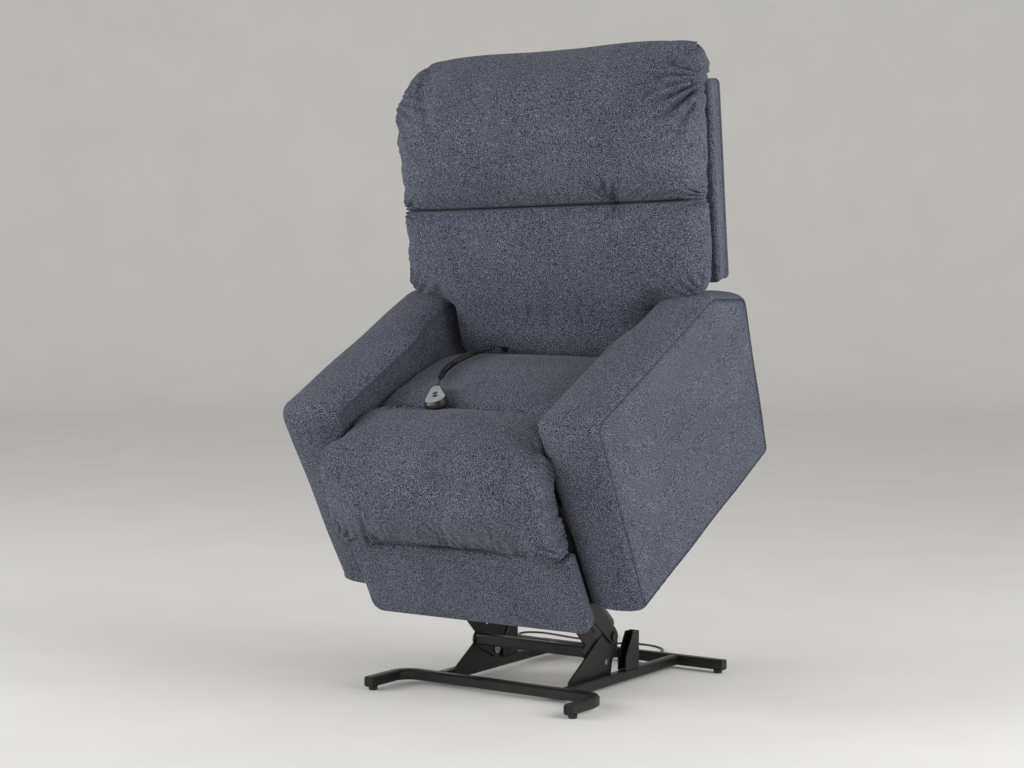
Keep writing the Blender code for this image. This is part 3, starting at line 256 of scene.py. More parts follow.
# sawn plywood: long grain with darker streaks
def barePly():
    made, tree, shader = newFinish("barePly", (0.50, 0.36, 0.22), 0.72)
    grain = noiseOf(tree, 26.0, 5.0, (0.6, 7.0, 7.0), rough=0.6)
    stops = [(0.32, (0.34, 0.22, 0.12)), (0.55, (0.52, 0.38, 0.23)), (0.75, (0.62, 0.47, 0.30))]
    tree.links.new(rampOf(tree, grain, stops), shader.inputs["Base Color"])
    tree.links.new(rangeOf(tree, grain, 0.62, 0.80), shader.inputs["Roughness"])
    tree.links.new(bumpOf(tree, grain, 0.25, 0.0006), shader.inputs["Normal"])
    return made


# moulded plastic and rubber: fine spark grain
def moulded(name, dark, pale, roughness, metallic=0.0, grain=1400.0):
    made, tree, shader = newFinish(name, dark, roughness, metallic)
    cloud = noiseOf(tree, 40.0, 3.0)
    spark = noiseOf(tree, grain, 1.0)
    tree.links.new(rampOf(tree, cloud, [(0.35, dark), (0.70, pale)]), shader.inputs["Base Color"])
    tree.links.new(rangeOf(tree, spark, roughness - 0.06, roughness + 0.08), shader.inputs["Roughness"])
    tree.links.new(bumpOf(tree, spark, 0.10, 0.0002), shader.inputs["Normal"])
    return made


fabric = slateWeave("slateWeave", weave)
steelCoat = powderCoat(coat)
zincPlate = platedSteel("zincPlate", (0.20, 0.20, 0.21), (0.40, 0.40, 0.41), 0.36, (1.0, 1.0, 1.0))
groundSteel = platedSteel("groundSteel", (0.48, 0.48, 0.49), (0.66, 0.66, 0.67), 0.20, (1.0, 6.0, 1.0))
plyBoard = barePly()
blackPlastic = moulded("blackPlastic", (0.007, 0.007, 0.0075), (0.013, 0.013, 0.0135), 0.36)
silverPlastic = moulded("silverPlastic", (0.40, 0.41, 0.42), (0.54, 0.55, 0.56), 0.30, 0.45)
blackRubber = moulded("blackRubber", (0.004, 0.004, 0.0045), (0.008, 0.008, 0.0085), 0.22)
print("finishes made")

# every shown CAD node takes the finish of its own kind
nodeFinish = [
    (steelCoat, ("tube", "riser", "post", "link_", "carrier", "bracket", "_arm_", "footrest_arm", "back_arm")),
    (zincPlate, ("pin", "drive_bar")),
    (plyBoard, ("front_board", "rear_board", "seat_deck")),
    (blackPlastic, ("actuator_housing", "actuator_tube", "handset_case", "button", "plug")),
    (blackRubber, ("glide", "inlet", "grommet", "handset_cord", "lead")),
    (silverPlastic, ("handset_face",)),
    (groundSteel, ("actuator_rod",)),
]


def finishFor(name):
    best = fabric
    for made, words in nodeFinish:
        if any(word in name for word in words):
            best = made
    return best


for nodeName, node in nodes.items():
    node.data.materials.clear()
    node.data.materials.append(finishFor(nodeName))


# mesh helpers: grids of points become meshes

def putMesh(name, points, quads, triangles, finish):
    # faces are turned to point outwards when the enclosed volume comes out negative
    fan = np.concatenate([quads[:, [0, 1, 2]], quads[:, [0, 2, 3]], triangles])
    a, b, c = points[fan[:, 0]], points[fan[:, 1]], points[fan[:, 2]]
    if np.einsum("ij,ij->i", a, np.cross(b, c)).sum() < 0.0:
        quads, triangles = quads[:, ::-1], triangles[:, ::-1]
    corners = np.concatenate([quads.ravel(), triangles.ravel()]).astype(np.int32)
    starts = np.concatenate([np.arange(len(quads)) * 4, len(quads) * 4 + np.arange(len(triangles)) * 3])
    mesh = bpy.data.meshes.new(name)
    mesh.vertices.add(len(points))
    mesh.vertices.foreach_set("co", points.astype(np.float32).ravel())
    mesh.loops.add(len(corners))
    mesh.loops.foreach_set("vertex_index", corners)
    mesh.polygons.add(len(starts))
    mesh.polygons.foreach_set("loop_start", starts.astype(np.int32))
    mesh.update(calc_edges=True)
    mesh.validate()
    mesh.shade_smooth()
    mesh.materials.append(finish)
    piece = bpy.data.objects.new(name, mesh)
    scene.collection.objects.link(piece)
    return piece


def ringShell(name, rings, finish):
    # rings of points, each closed on itself, joined row to row; both ends close on their middle point
    rows, around, _ = rings.shape
    points = np.concatenate([rings.reshape(-1, 3), rings[:1].mean(1), rings[-1:].mean(1)])
    here = np.arange(rows - 1)[:, None] * around
    at = np.arange(around)[None]
    on = (at + 1) % around
    quads = np.stack([here + at, here + on, here + around + on, here + around + at], -1).reshape(-1, 4)
    at, on, last = at[0], on[0], (rows - 1) * around
    first = np.stack([np.full(around, rows * around), on, at], -1)
    final = np.stack([np.full(around, rows * around + 1), last + at, last + on], -1)
    return putMesh(name, points, quads, np.concatenate([first, final]), finish)


def tubeAlong(name, path, radius, sides, finish):
    # a round section carried along a path by a frame that doesn't twist
    ahead = np.gradient(path, axis=0)
    ahead /= np.linalg.norm(ahead, axis=1)[:, None]
    first = np.zeros_like(path)
    lead = np.cross(ahead[0], (0.31, 0.12, 0.94))
    for at, way in enumerate(ahead):
        lead = lead - way * (lead @ way)
        lead /= np.linalg.norm(lead)
        first[at] = lead
    second = np.cross(ahead, first)
    turn = np.linspace(0.0, 2.0 * math.pi, sides, endpoint=False)
    ring = np.cos(turn)[None, :, None] * first[:, None] + np.sin(turn)[None, :, None] * second[:, None]
    return ringShell(name, path[:, None] + radius * ring, finish)


def smoothCurve(points, spans):
    # a cubic through every point, its slopes taken from the chords on either side
    points = np.asarray(points, float)
    chord = np.linalg.norm(np.diff(points, axis=0), axis=1)
    at = np.concatenate([[0.0], np.cumsum(chord)])
    step = np.diff(points, axis=0) / chord[:, None]
    slope = np.zeros_like(points)
    share = (chord[:-1] / (chord[:-1] + chord[1:]))[:, None]
    slope[1:-1] = step[:-1] * (1.0 - share) + step[1:] * share
    slope[0], slope[-1] = step[0], step[-1]
    t = np.linspace(0.0, 1.0, spans, endpoint=False)[None, :, None]
    long = chord[:, None, None]
    made = ((1 + 2 * t) * (1 - t) ** 2 * points[:-1, None] + t * (1 - t) ** 2 * long * slope[:-1, None]
            + t ** 2 * (3 - 2 * t) * points[1:, None] - t ** 2 * (1 - t) * long * slope[1:, None])
    return np.concatenate([made.reshape(-1, points.shape[1]), points[-1:]]), at


def evenAlong(points, count, closed=False):
    # the same line with its points an equal way apart
    points = np.asarray(points, float)
    if closed:
        points = np.concatenate([points, points[:1]])
    at = np.concatenate([[0.0], np.cumsum(np.linalg.norm(np.diff(points, axis=0), axis=1))])
    want = np.linspace(0.0, at[-1], count, endpoint=not closed)
    return np.stack([np.interp(want, at, points[:, k]) for k in range(points.shape[1])], 1)


def smoothStep(value, low, high):
    t = np.clip((value - low) / (high - low), 0.0, 1.0)
    return t * t * (3.0 - 2.0 * t)


def lengthOf(path):
    return float(np.linalg.norm(np.diff(path, axis=0), axis=1).sum())


# power lead: along the floor behind the base, its spare length wound up beside the rear post
powerLead = {
    "diameter": 0.005,
    "start": (0.030, 0.3708, 0.0200),
    "route": [
        (0.032, 0.394, 0.0165), (0.038, 0.412, 0.0090), (0.045, 0.432, 0.0040), (0.049, 0.454, 0.0028),
        (0.047, 0.480, 0.0028), (0.032, 0.508, 0.0028), (0.004, 0.530, 0.0028), (-0.034, 0.541, 0.0028),
        (-0.076, 0.535, 0.0028), (-0.116, 0.514, 0.0028), (-0.158, 0.488, 0.0028), (-0.205, 0.464, 0.0028),
        (-0.255, 0.450, 0.0028), (-0.305, 0.447, 0.0028), (-0.352, 0.455, 0.0028), (-0.390, 0.472, 0.0028),
        (-0.411, 0.496, 0.0028), (-0.403, 0.522, 0.0028), (-0.375, 0.537, 0.0028), (-0.335, 0.538, 0.0028),
        (-0.290, 0.529, 0.0028), (-0.245, 0.521, 0.0028)],
    "coilPlace": (-0.190, 0.560),
    "coilInner": 0.0195,
    "turns": 3,
    "loopPoints": 24,
    "plugRun": 0.040,
}


def coilPath(settings):
    # flat spiral out to in on the floor, half a turn up, and a second spiral in to out on top of it
    radius = settings["diameter"] / 2
    step = settings["diameter"] + 0.0012
    loop, turns = settings["loopPoints"], settings["turns"]
    spread = np.arange(loop * turns + 1) / loop
    inner = settings["coilInner"] + radius
    rest = radius + 0.0003
    angle = -0.5 * math.pi + 2.0 * math.pi * spread
    climb = np.arange(1, loop // 2) / (loop // 2)
    angles = np.concatenate([angle, angle[-1] + math.pi * climb, angle[-1] + math.pi + 2.0 * math.pi * spread])
    reach = np.concatenate([inner + step * spread[::-1], np.full(len(climb), inner), inner + step * spread])
    rise = np.concatenate([np.zeros(len(spread)), step * smoothStep(climb, 0.0, 1.0), np.full(len(spread), step)])
    coil = np.stack([reach * np.cos(angles), reach * np.sin(angles), rest + rise], 1)
    coil[:, :2] += settings["coilPlace"]
    away = coil[-1] - coil[-2]
    return np.concatenate([coil, [coil[-1] + away / np.linalg.norm(away) * settings["plugRun"]]])


def makePowerLead(settings):
    coil = coilPath(settings)
    start = np.array(settings["start"])
    route = np.array([start, start + (0.0, settings["diameter"], 0.0), *settings["route"], coil[0]])
    free, _ = smoothCurve(route, 4)
    free[:, 2] = np.maximum(free[:, 2], settings["diameter"] / 2)
    path = np.concatenate([free[:-1], coil]) + floorShift
    lead = tubeAlong("powerLead", path, settings["diameter"] / 2, 10, blackRubber)
    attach(lead, "base")
    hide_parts("power_lead", "lead_coil")

    # hook-and-loop tie: a flat band closed round the bundle of turns on the side away from the plug
    middle = settings["coilInner"] + 1.5 * (settings["diameter"] + 0.0012) + settings["diameter"] / 2
    turn = np.linspace(0.0, 2.0 * math.pi, 48, endpoint=False)
    wide = 0.0112 * np.sign(np.cos(turn)) * np.abs(np.cos(turn)) ** 0.55
    tall = 0.0061 * np.sign(np.sin(turn)) * np.abs(np.sin(turn)) ** 0.55
    rows = []
    for thick, along in ((0.0, -0.006), (0.0013, -0.006), (0.0013, 0.006), (0.0, 0.006), (0.0, -0.006)):
        grow = 1.0 + thick / 0.009
        rows.append(np.stack([middle + wide * grow, np.full(48, along), 0.0063 + tall * grow], 1))
    band = np.stack(rows)
    way = math.radians(150.0)
    x = band[..., 0] * math.cos(way) - band[..., 1] * math.sin(way)
    y = band[..., 0] * math.sin(way) + band[..., 1] * math.cos(way)
    acrossPlace, backPlace = settings["coilPlace"]
    band = np.stack([x + acrossPlace, y + backPlace, np.maximum(band[..., 2], 0.0)], -1)
    count, around, _ = band.shape
    here = np.arange(count - 1)[:, None] * around
    at = np.arange(around)[None]
    on = (at + 1) % around
    quads = np.stack([here + at, here + on, here + around + on, here + around + at], -1)
    quads = quads.reshape(-1, 4) % (4 * around)
    points = band[:4].reshape(-1, 3) + floorShift
    tie = putMesh("leadTie", points, quads, np.zeros((0, 3), int), blackRubber)
    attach(tie, "base")
    print("power lead", round(lengthOf(path), 3), "m")


makePowerLead(powerLead)

# handset's curly cord: a wire wound round a line that lies on the seat and goes into the rear crease
handsetCord = {
    "wire": 0.0029,
    "winding": 0.0066,
    "curls": 31,
    "curlPoints": 20,
    "plain": 0.030,
    "line": [
        (-0.148, 0.256, 0.4305), (-0.160, 0.284, 0.4280), (-0.167, 0.315, 0.4245), (-0.168, 0.348, 0.4195),
        (-0.163, 0.380, 0.4145), (-0.153, 0.412, 0.4090), (-0.138, 0.440, 0.4030)],
    "mouth": (-0.112, 0.4695, 0.3885),
    "into": (0.36, 0.62, -0.70),
    "handset": (-0.100, 0.165),
    "turn": 34.0,
    "pitch": -7.0,
    "length": 0.115,
    "exitHeight": 0.0095,
}


def handsetPoint(settings, local):
    # the handset lies on the seat, pitched and then turned about its own middle, which is its pivot's place
    local = turned(np.asarray(local, float), settings["pitch"])
    c, s = math.cos(math.radians(settings["turn"])), math.sin(math.radians(settings["turn"]))
    x, y, z = local[..., 0], local[..., 1], local[..., 2]
    level = handsetLevel(settings)
    place = settings["handset"]
    return np.stack([c * x - s * y + place[0], s * x + c * y + place[1], z + level], -1)


def handsetLevel(settings):
    # height of the handset's underside above the seat's axes, read from the case's own lowest face
    low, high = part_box("handset_case")
    middle = turned(0.5 * (np.array(low) + np.array(high)) - seatOrigin, -stance["lift"])
    return float(middle[2]) - 0.0105


def makeHandsetCord(settings):
    # the curls grow from nothing at both ends, and turn slowly while they are small
    start = handsetPoint(settings, (0.0, settings["length"] / 2 + 0.0003, settings["exitHeight"]))
    leave = handsetPoint(settings, (0.0, settings["length"] / 2 + 0.0123, settings["exitHeight"]))
    into = np.array(settings["into"]) / np.linalg.norm(settings["into"])
    mouth = np.array(settings["mouth"])
    route = [start, leave, *settings["line"], mouth - into * 0.016, mouth]
    line, _ = smoothCurve(route, 24)
    count = settings["curls"] * settings["curlPoints"] + 1
    centre = evenAlong(line, count)
    ahead = np.gradient(centre, axis=0)
    ahead /= np.linalg.norm(ahead, axis=1)[:, None]
    first = np.cross(ahead, (0.0, 0.0, 1.0))
    first /= np.linalg.norm(first, axis=1)[:, None]
    second = np.cross(ahead, first)
    along = np.linspace(0.0, lengthOf(line), count)
    ease = smoothStep(along, settings["plain"], settings["plain"] + 0.026)
    ease = ease * smoothStep(along[-1] - along, 0.006, 0.030)
    turn = np.cumsum(ease ** 2)
    turn *= 2.0 * math.pi * settings["curls"] / turn[-1]
    reach = (settings["winding"] * ease)[:, None]
    path = fromSeat(centre + reach * (np.cos(turn)[:, None] * first + np.sin(turn)[:, None] * second))
    cord = tubeAlong("handsetCord", path, settings["wire"] / 2, 8, blackRubber)
    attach(cord, "chair")
    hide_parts("handset_cord")
    print("handset cord", round(lengthOf(path), 3), "m")


makeHandsetCord(handsetCord)


# cushion helpers

def evenTurns(count, square, aspect):
    # angles that space points evenly round a squared ellipse of that width to depth
    dense = np.linspace(0.0, 2.0 * math.pi, 4001)
    x, y = squared(dense, square)
    at = np.concatenate([[0.0], np.cumsum(np.hypot(np.diff(x * aspect), np.diff(y)))])
    return np.interp(np.linspace(0.0, at[-1], count, endpoint=False), at, dense)


def squared(turn, square):
    # a squared ellipse: cosine and sine raised to 2 over the squareness, signs kept
    power = 2.0 / square
    c, s = np.cos(turn), np.sin(turn)
    return np.sign(c) * np.abs(c) ** power, np.sign(s) * np.abs(s) ** power


def blurred(values, width):
    # a bell-shaped running mean along the first axis, ends held
    if width <= 0:
        return values
    reach = int(3 * width) + 1
    bell = np.exp(-0.5 * (np.arange(-reach, reach + 1) / width) ** 2)
    bell /= bell.sum()
    padded = np.pad(values, (reach, reach), mode="reflect", reflect_type="odd")
    return np.convolve(padded, bell, mode="valid")


def through(at, stations, column, blur):
    # a station table read at many places and rounded off
    fine = np.linspace(at[0], at[-1], 2000)
    table = np.asarray(stations, float)
    values = np.interp(fine, table[:, 0], table[:, column])
    return np.interp(at, fine, blurred(values, blur / (fine[1] - fine[0])))


def pointsOf(piece):
    points = np.empty(len(piece.data.vertices) * 3, np.float32)
    piece.data.vertices.foreach_get("co", points)
    return points.reshape(-1, 3).astype(float)


def normalsOf(piece):
    normals = np.empty(len(piece.data.vertices) * 3, np.float32)
    piece.data.vertex_normals.foreach_get("vector", normals)
    return normals.reshape(-1, 3).astype(float)


def setPoints(piece, points):
    piece.data.vertices.foreach_set("co", points.astype(np.float32).ravel())
    piece.data.update()


def withEnds(grid):
    # a value at every point of a ring grid, then at the two points that close its ends
    return np.concatenate([grid.ravel(), grid[:1].mean(1), grid[-1:].mean(1)])


def markSeamAndShade(piece, strength):
    # how strongly a sewn line and the painted shade in its crease show at each point
    layer = piece.data.attributes.new("seam", "FLOAT", "POINT")
    layer.data.foreach_set("value", np.clip(strength, 0.0, 1.0).astype(np.float32))


def pushed(piece, amount):
    # every point moves along its own normal
    setPoints(piece, pointsOf(piece) + normalsOf(piece) * amount[:, None])


def doubled(values, closed):
    # twice as many points along the first axis, each new one on a cubic through its four neighbours
    if closed:
        around = np.concatenate([values[-1:], values, values[:2]])
    else:
        around = np.concatenate([2.0 * values[:1] - values[1:2], values, 2.0 * values[-1:] - values[-2:-1]])
    between = (9.0 * (around[1:-2] + around[2:-1]) - around[:-3] - around[3:]) / 16.0
    made = np.empty((len(values) + len(between), *values.shape[1:]))
    made[0::2], made[1::2] = values, between
    return made


def swell(rings, held, settings):
    # cloth blown up from inside, on every second point each way; held is how firmly each point stays,
    # no point moves past the cap, and the move of the points between follows from their neighbours
    coarse = rings[::2, ::2]
    piece = ringShell("swellDraft", coarse, fabric)
    rest = pointsOf(piece)
    group = piece.vertex_groups.new(name="held")
    firm = np.concatenate([held[::2, ::2].ravel(), [1.0, 1.0]])
    steps = np.round(np.clip(firm, 0.0, 1.0) * 10).astype(int)
    for level in range(1, 11):
        found = np.nonzero(steps == level)[0]
        if len(found):
            group.add(found.tolist(), level / 10.0, "REPLACE")
    cloth = piece.modifiers.new("swell", "CLOTH")
    made = cloth.settings
    made.quality = settings.get("quality", 5)
    made.mass = 0.3
    made.tension_stiffness = settings.get("stretch", 12.0)
    made.compression_stiffness = settings.get("stretch", 12.0)
    made.shear_stiffness = 4.0
    made.bending_stiffness = settings.get("bend", 0.6)
    made.use_pressure = True
    made.uniform_pressure_force = settings["pressure"]
    made.shrink_min = -settings["slack"]
    made.effector_weights.gravity = 0.0
    made.vertex_group_mass = "held"
    cloth.collision_settings.use_collision = False
    cloth.collision_settings.use_self_collision = False
    cloth.point_cache.frame_start = 1
    cloth.point_cache.frame_end = settings["frames"]
    for step in range(1, settings["frames"] + 1):
        scene.frame_set(step)
    shaped = piece.evaluated_get(bpy.context.evaluated_depsgraph_get())
    blown = np.empty(len(rest) * 3, np.float32)
    shaped.data.vertices.foreach_get("co", blown)
    move = blown.reshape(-1, 3) - rest
    far = np.linalg.norm(move, axis=1)
    soft = settings["cap"] * np.tanh(far / settings["cap"])
    move = move * (soft / np.maximum(far, 1e-9))[:, None]
    draft = piece.data
    bpy.data.objects.remove(piece, do_unlink=True)
    bpy.data.meshes.remove(draft)
    scene.frame_set(1)
    print("swelled up to", round(1000 * float(soft.max()), 1), "mm")
    move = doubled(move[:-2].reshape(coarse.shape), False)
    return rings + doubled(move.transpose(1, 0, 2), True).transpose(1, 0, 2)


def fan(across, up, centre, way, spread, folds, reach, depth):
    # folds that run out from a point like a fan: rounded ridges, sharp valleys, gone at the reach
    dx, dz = across - centre[0], up - centre[1]
    far = np.hypot(dx, dz)
    angle = np.degrees(np.arctan2(dz, dx)) - way
    angle = (angle + 180.0) % 360.0 - 180.0
    within = 1.0 - smoothStep(np.abs(angle), 0.55 * spread, spread)
    ridge = np.abs(np.sin(math.pi * folds * (angle + spread) / (2.0 * spread) + 2.5 * far / reach)) - 0.55
    fade = (1.0 - smoothStep(far, 0.25 * reach, reach)) * smoothStep(far, 0.0, 0.18 * reach)
    return depth * ridge * within * fade


def ripples(along, far, length, reach, depth, seed):
    # soft folds that start square to a seam and die out: waves of uneven length
    uneven = along / length + 0.55 * np.sin(along / length * 1.7 + seed)
    uneven = uneven + 0.3 * np.sin(along / length * 4.1 + 2 * seed)
    strong = 0.55 + 0.45 * np.sin(along / length * 0.9 + 1.3 * seed)
    return depth * strong * np.sin(2.0 * math.pi * uneven) * np.exp(-np.abs(far) / reach)


# back cushion: height up the back, half width, depth before the shell, roll behind the shell's front
backCushion = {
    "plane": 0.0437,
    "square": 4.0,
    "rows": 201,
    "around": 420,
    "stations": [
        (0.045, 0.262, 0.070, 0.0), (0.057, 0.278, 0.102, 0.0), (0.085, 0.288, 0.126, 0.0),
        (0.125, 0.288, 0.140, 0.0), (0.170, 0.288, 0.148, 0.0), (0.200, 0.290, 0.150, 0.0),
        (0.209, 0.352, 0.150, 0.0), (0.222, 0.398, 0.150, 0.0), (0.252, 0.420, 0.151, 0.0),
        (0.320, 0.429, 0.153, 0.0), (0.398, 0.427, 0.152, 0.0), (0.430, 0.423, 0.149, 0.0),
        (0.466, 0.428, 0.153, 0.0), (0.520, 0.430, 0.158, 0.0), (0.610, 0.430, 0.159, 0.0),
        (0.680, 0.430, 0.150, 0.0), (0.718, 0.429, 0.141, 0.002), (0.722, 0.429, 0.140, 0.026),
        (0.754, 0.425, 0.124, 0.050), (0.784, 0.416, 0.098, 0.050), (0.803, 0.400, 0.066, 0.034),
        (0.812, 0.376, 0.030, 0.012)],
    "blur": 0.006,
    "seam": 0.430,
    "slope": 0.023,
    "topDrop": 0.012,
    "seamDepth": 0.020,
    "seamEnd": 0.400,
    "tuck": (0.212, 0.432),
    "tuckUnder": 0.075,
    "cloth": {"pressure": 4.0, "slack": 0.02, "frames": 20, "cap": 0.022},
    "fill": 0.75,
}


def makeBackCushion(settings):
    table = np.array(settings["stations"])
    fine = np.linspace(table[0, 0], table[-1, 0], 1200)
    depth = through(fine, table, 2, settings["blur"])
    side = through(fine, table, 1, settings["blur"])
    # rows follow the profile's length, and stand closer together at the sewn channel
    walk = np.concatenate([[0.0], np.cumsum(np.sqrt(np.diff(fine) ** 2 + np.diff(depth) ** 2
                                                     + 0.3 * np.diff(side) ** 2))])
    walk = walk + 0.09 * np.tanh((fine - settings["seam"]) / 0.012)
    height = np.interp(np.linspace(walk[0], walk[-1], settings["rows"]), walk, fine)
    half = np.interp(height, fine, side)[:, None]
    front = settings["plane"] - np.interp(height, fine, depth)[:, None]
    rear = settings["plane"] + np.interp(height, fine, through(fine, table, 3, settings["blur"]))[:, None]
    turn = evenTurns(settings["around"], settings["square"], 4.5)
    across, deep = squared(turn, settings["square"])
    y = 0.5 * (front + rear) + 0.5 * (rear - front) * deep
    # sides are fullest near the front and draw in towards the shell
    x = half * across * (1.0 - settings["tuckUnder"] * smoothStep(deep, -0.45, 0.9) * smoothStep(half, 0.30, 0.40))
    z = np.broadcast_to(height[:, None], x.shape)
    # the sewn shape as it settled: a little higher to one side, the top's corners lower than its middle
    lifted = settings["slope"] * x + 0.010 * smoothStep(z, 0.30, 0.42) * (1.0 - smoothStep(z, 0.46, 0.66))
    sunk = settings["topDrop"] * (0.6 + np.abs(x / 0.42) ** 3) * smoothStep(z, 0.60, 0.78)
    settled = z + lifted * smoothStep(z, 0.26, 0.40) - sunk
    rings = fromBack(np.stack([x, y, settled], -1))
    held = np.maximum(smoothStep(y, settings["plane"] - 0.03, settings["plane"] - 0.008),
                      1.0 - smoothStep(np.abs(z - settings["seam"]), 0.004, 0.016))
    held = np.maximum(held, 1.0 - smoothStep(z, 0.10, 0.20))
    rings = swell(rings, held, settings["cloth"])
    piece = ringShell("backCushion", rings, fabric)
    x, y, z = (withEnds(part) for part in (x, y, z))
    face = smoothStep(-(y - settings["plane"] + 0.07), 0.0, 0.05)

    # sewn channel: a sharp valley that both panels roll into, run out before the sides
    gap = np.abs(z - settings["seam"])
    ends = 1.0 - smoothStep(np.abs(x), settings["seamEnd"] - 0.03, settings["seamEnd"] + 0.02)
    valley = settings["seamDepth"] * (0.55 * np.exp(-gap / 0.0035) + 0.45 * np.exp(-gap / 0.030))
    amount = -valley * face * (0.25 + 0.75 * ends)
    # dark mark along the channel's valley: thread colour and painted shade in the crease
    markSeamAndShade(piece, np.exp(-(gap / 0.0026) ** 2) * face * ends)
    lower = np.where(z < settings["seam"], 1.0, 0.6)
    amount += face * ripples(x, gap, 0.070, 0.085, 0.0034, 1.0) * lower * smoothStep(gap, 0.0, 0.02)
    amount += face * ripples(x + 0.3 * z, z - 0.30, 0.12, 0.16, 0.0016, 2.2)
    # pulled tuck on the channel, gathers at the top corners, channel ends and over the arms
    tuck = settings["tuck"]
    amount += face * fan(x, z, tuck, 122.0, 62.0, 4, 0.085, 0.026)
    amount += face * fan(x, z, tuck, -75.0, 60.0, 4, 0.070, 0.012)
    amount -= face * 0.010 * np.exp(-((x - tuck[0]) / 0.010) ** 2 - ((z - tuck[1]) / 0.014) ** 2)
    for sideSign, gathers in ((1.0, 1.0), (-1.0, 0.45)):
        mirrored = x * sideSign
        onFront = 0.35 + 0.65 * face
        amount += onFront * fan(mirrored, z, (0.448, 0.735), 200.0, 75.0, 8, 0.190, 0.032 * gathers)
        amount += onFront * fan(mirrored, z, (0.445, 0.432), 180.0, 60.0, 7, 0.110, 0.011)
        amount += onFront * fan(mirrored, z, (0.432, 0.206), 130.0, 70.0, 8, 0.130, 0.016)
        edge = np.exp(-((mirrored - 0.425) / 0.016) ** 2)
        amount += edge * ripples(z, 0.0 * z, 0.046, 1.0, 0.0024, 3.0 + sideSign) * smoothStep(z, 0.23, 0.28)
    pushed(piece, amount)
    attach(piece, "backrest")
    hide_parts("back_cushion")
    print("back cushion made")


makeBackCushion(backCushion)

# seat cushion: behind the sewn channel it is the seat, ahead of it a lower block under the knee roll
seatCushion = {
    "half": 0.2975,
    "bottom": 0.2505,
    "square": 7.0,
    "rows": 90,
    "around": 260,
    "stations": [
        (0.014, 0.318, 0.262), (0.022, 0.338, 0.272), (0.050, 0.345, 0.276), (0.132, 0.345, 0.2800),
        (0.145, 0.352, 0.2850), (0.154, 0.378, 0.2900), (0.162, 0.406, 0.2950), (0.177, 0.4165, 0.2970),
        (0.235, 0.4195, 0.2975), (0.340, 0.410, 0.2975), (0.430, 0.391, 0.2975), (0.472, 0.374, 0.292),
        (0.486, 0.350, 0.284), (0.492, 0.315, 0.274)],
    "cloth": {"pressure": 3.0, "slack": 0.01, "frames": 16, "cap": 0.006},
    "fill": 0.7,
}


def makeSeatCushion(settings):
    table = np.array(settings["stations"])
    back = np.linspace(table[0, 0], table[-1, 0], settings["rows"])
    top = through(back, table, 1, 0.004)[:, None]
    half = through(back, table, 2, 0.006)[:, None]
    turn = evenTurns(settings["around"], settings["square"], 3.0)
    across, rise = squared(turn, settings["square"])
    z = 0.5 * (top + settings["bottom"]) + 0.5 * (top - settings["bottom"]) * rise
    x = half * across
    # lower part stays inside the hinge plates, upper part fills the width between the arms
    x = np.where(np.abs(x) > 0.2882, np.sign(x) * (0.2882 + (np.abs(x) - 0.2882) * smoothStep(z, 0.36, 0.39)), x)
    z = z - 0.010 * (x / settings["half"]) ** 2 * smoothStep(z, 0.34, 0.40)
    rings = np.stack([x, np.broadcast_to(back[:, None], x.shape), z], -1)
    piece = ringShell("seatCushion", fromSeat(rings), fabric)
    local = np.concatenate([rings.reshape(-1, 3), rings[:1].mean(1), rings[-1:].mean(1)])
    x, y, z = local.T
    topSide = smoothStep(z, 0.365, 0.395)
    amount = topSide * ripples(x, y - 0.16, 0.10, 0.07, 0.0016, 0.7) * smoothStep(y, 0.160, 0.18)
    amount += topSide * fan(x, y, (-0.225, 0.158), 60.0, 70.0, 5, 0.085, 0.009)
    amount += topSide * 0.0015 * np.sin(11.0 * x + 9.0 * y) * np.sin(17.0 * y - 4.0 * x)
    pushed(piece, amount)
    # the whole block ahead of the sewn channel, under the leg pad, is painted dark: painted shade in the crease
    # and under the pad
    markSeamAndShade(piece, 0.9 * (1.0 - smoothStep(y, 0.158, 0.164)))
    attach(piece, "chair")
    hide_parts("seat_cushion")
    print("seat cushion made")


makeSeatCushion(seatCushion)

# leg pad: one padded piece from the seat's channel over the knee and down to its gathered lower edge
legPad = {
    "half": 0.2995,
    "seatHalf": 0.2790,
    "midHalf": 0.2960,
    "square": 3.2,
    "seatSquare": 7.0,
    "innerSquare": 14.0,
    "rows": 181,
    "around": 420,
    "outer": [
        (0.1590, 0.4000), (0.1565, 0.4080), (0.1490, 0.4160), (0.1360, 0.4220), (0.1120, 0.4270), (0.0750, 0.4302),
        (0.0300, 0.4310), (-0.0150, 0.4300), (-0.0460, 0.4270), (-0.0690, 0.4170), (-0.0880, 0.3960),
        (-0.1020, 0.3620), (-0.1130, 0.3250), (-0.1175, 0.2900), (-0.1165, 0.2550), (-0.1080, 0.2200),
        (-0.0930, 0.1920), (-0.0730, 0.1700), (-0.0500, 0.1590)],
    "inner": [
        (0.1580, 0.3760), (0.1560, 0.3690), (0.1490, 0.3620), (0.1360, 0.3560), (0.1120, 0.3530), (0.0750, 0.3520),
        (0.0400, 0.3520), (0.0180, 0.3500), (0.0060, 0.3450), (-0.0030, 0.3370), (-0.0090, 0.3240),
        (-0.0130, 0.3060), (-0.0150, 0.2850), (-0.0165, 0.2600), (-0.0180, 0.2360), (-0.0210, 0.2100),
        (-0.0270, 0.1860), (-0.0360, 0.1680), (-0.0470, 0.1590)],
    "drawnUp": 0.020,
    "cloth": {"pressure": 4.0, "slack": 0.015, "frames": 18, "cap": 0.012},
    "fill": 0.7,
    "bend": ((0.005, 0.427), (-0.095, 0.343)),
}


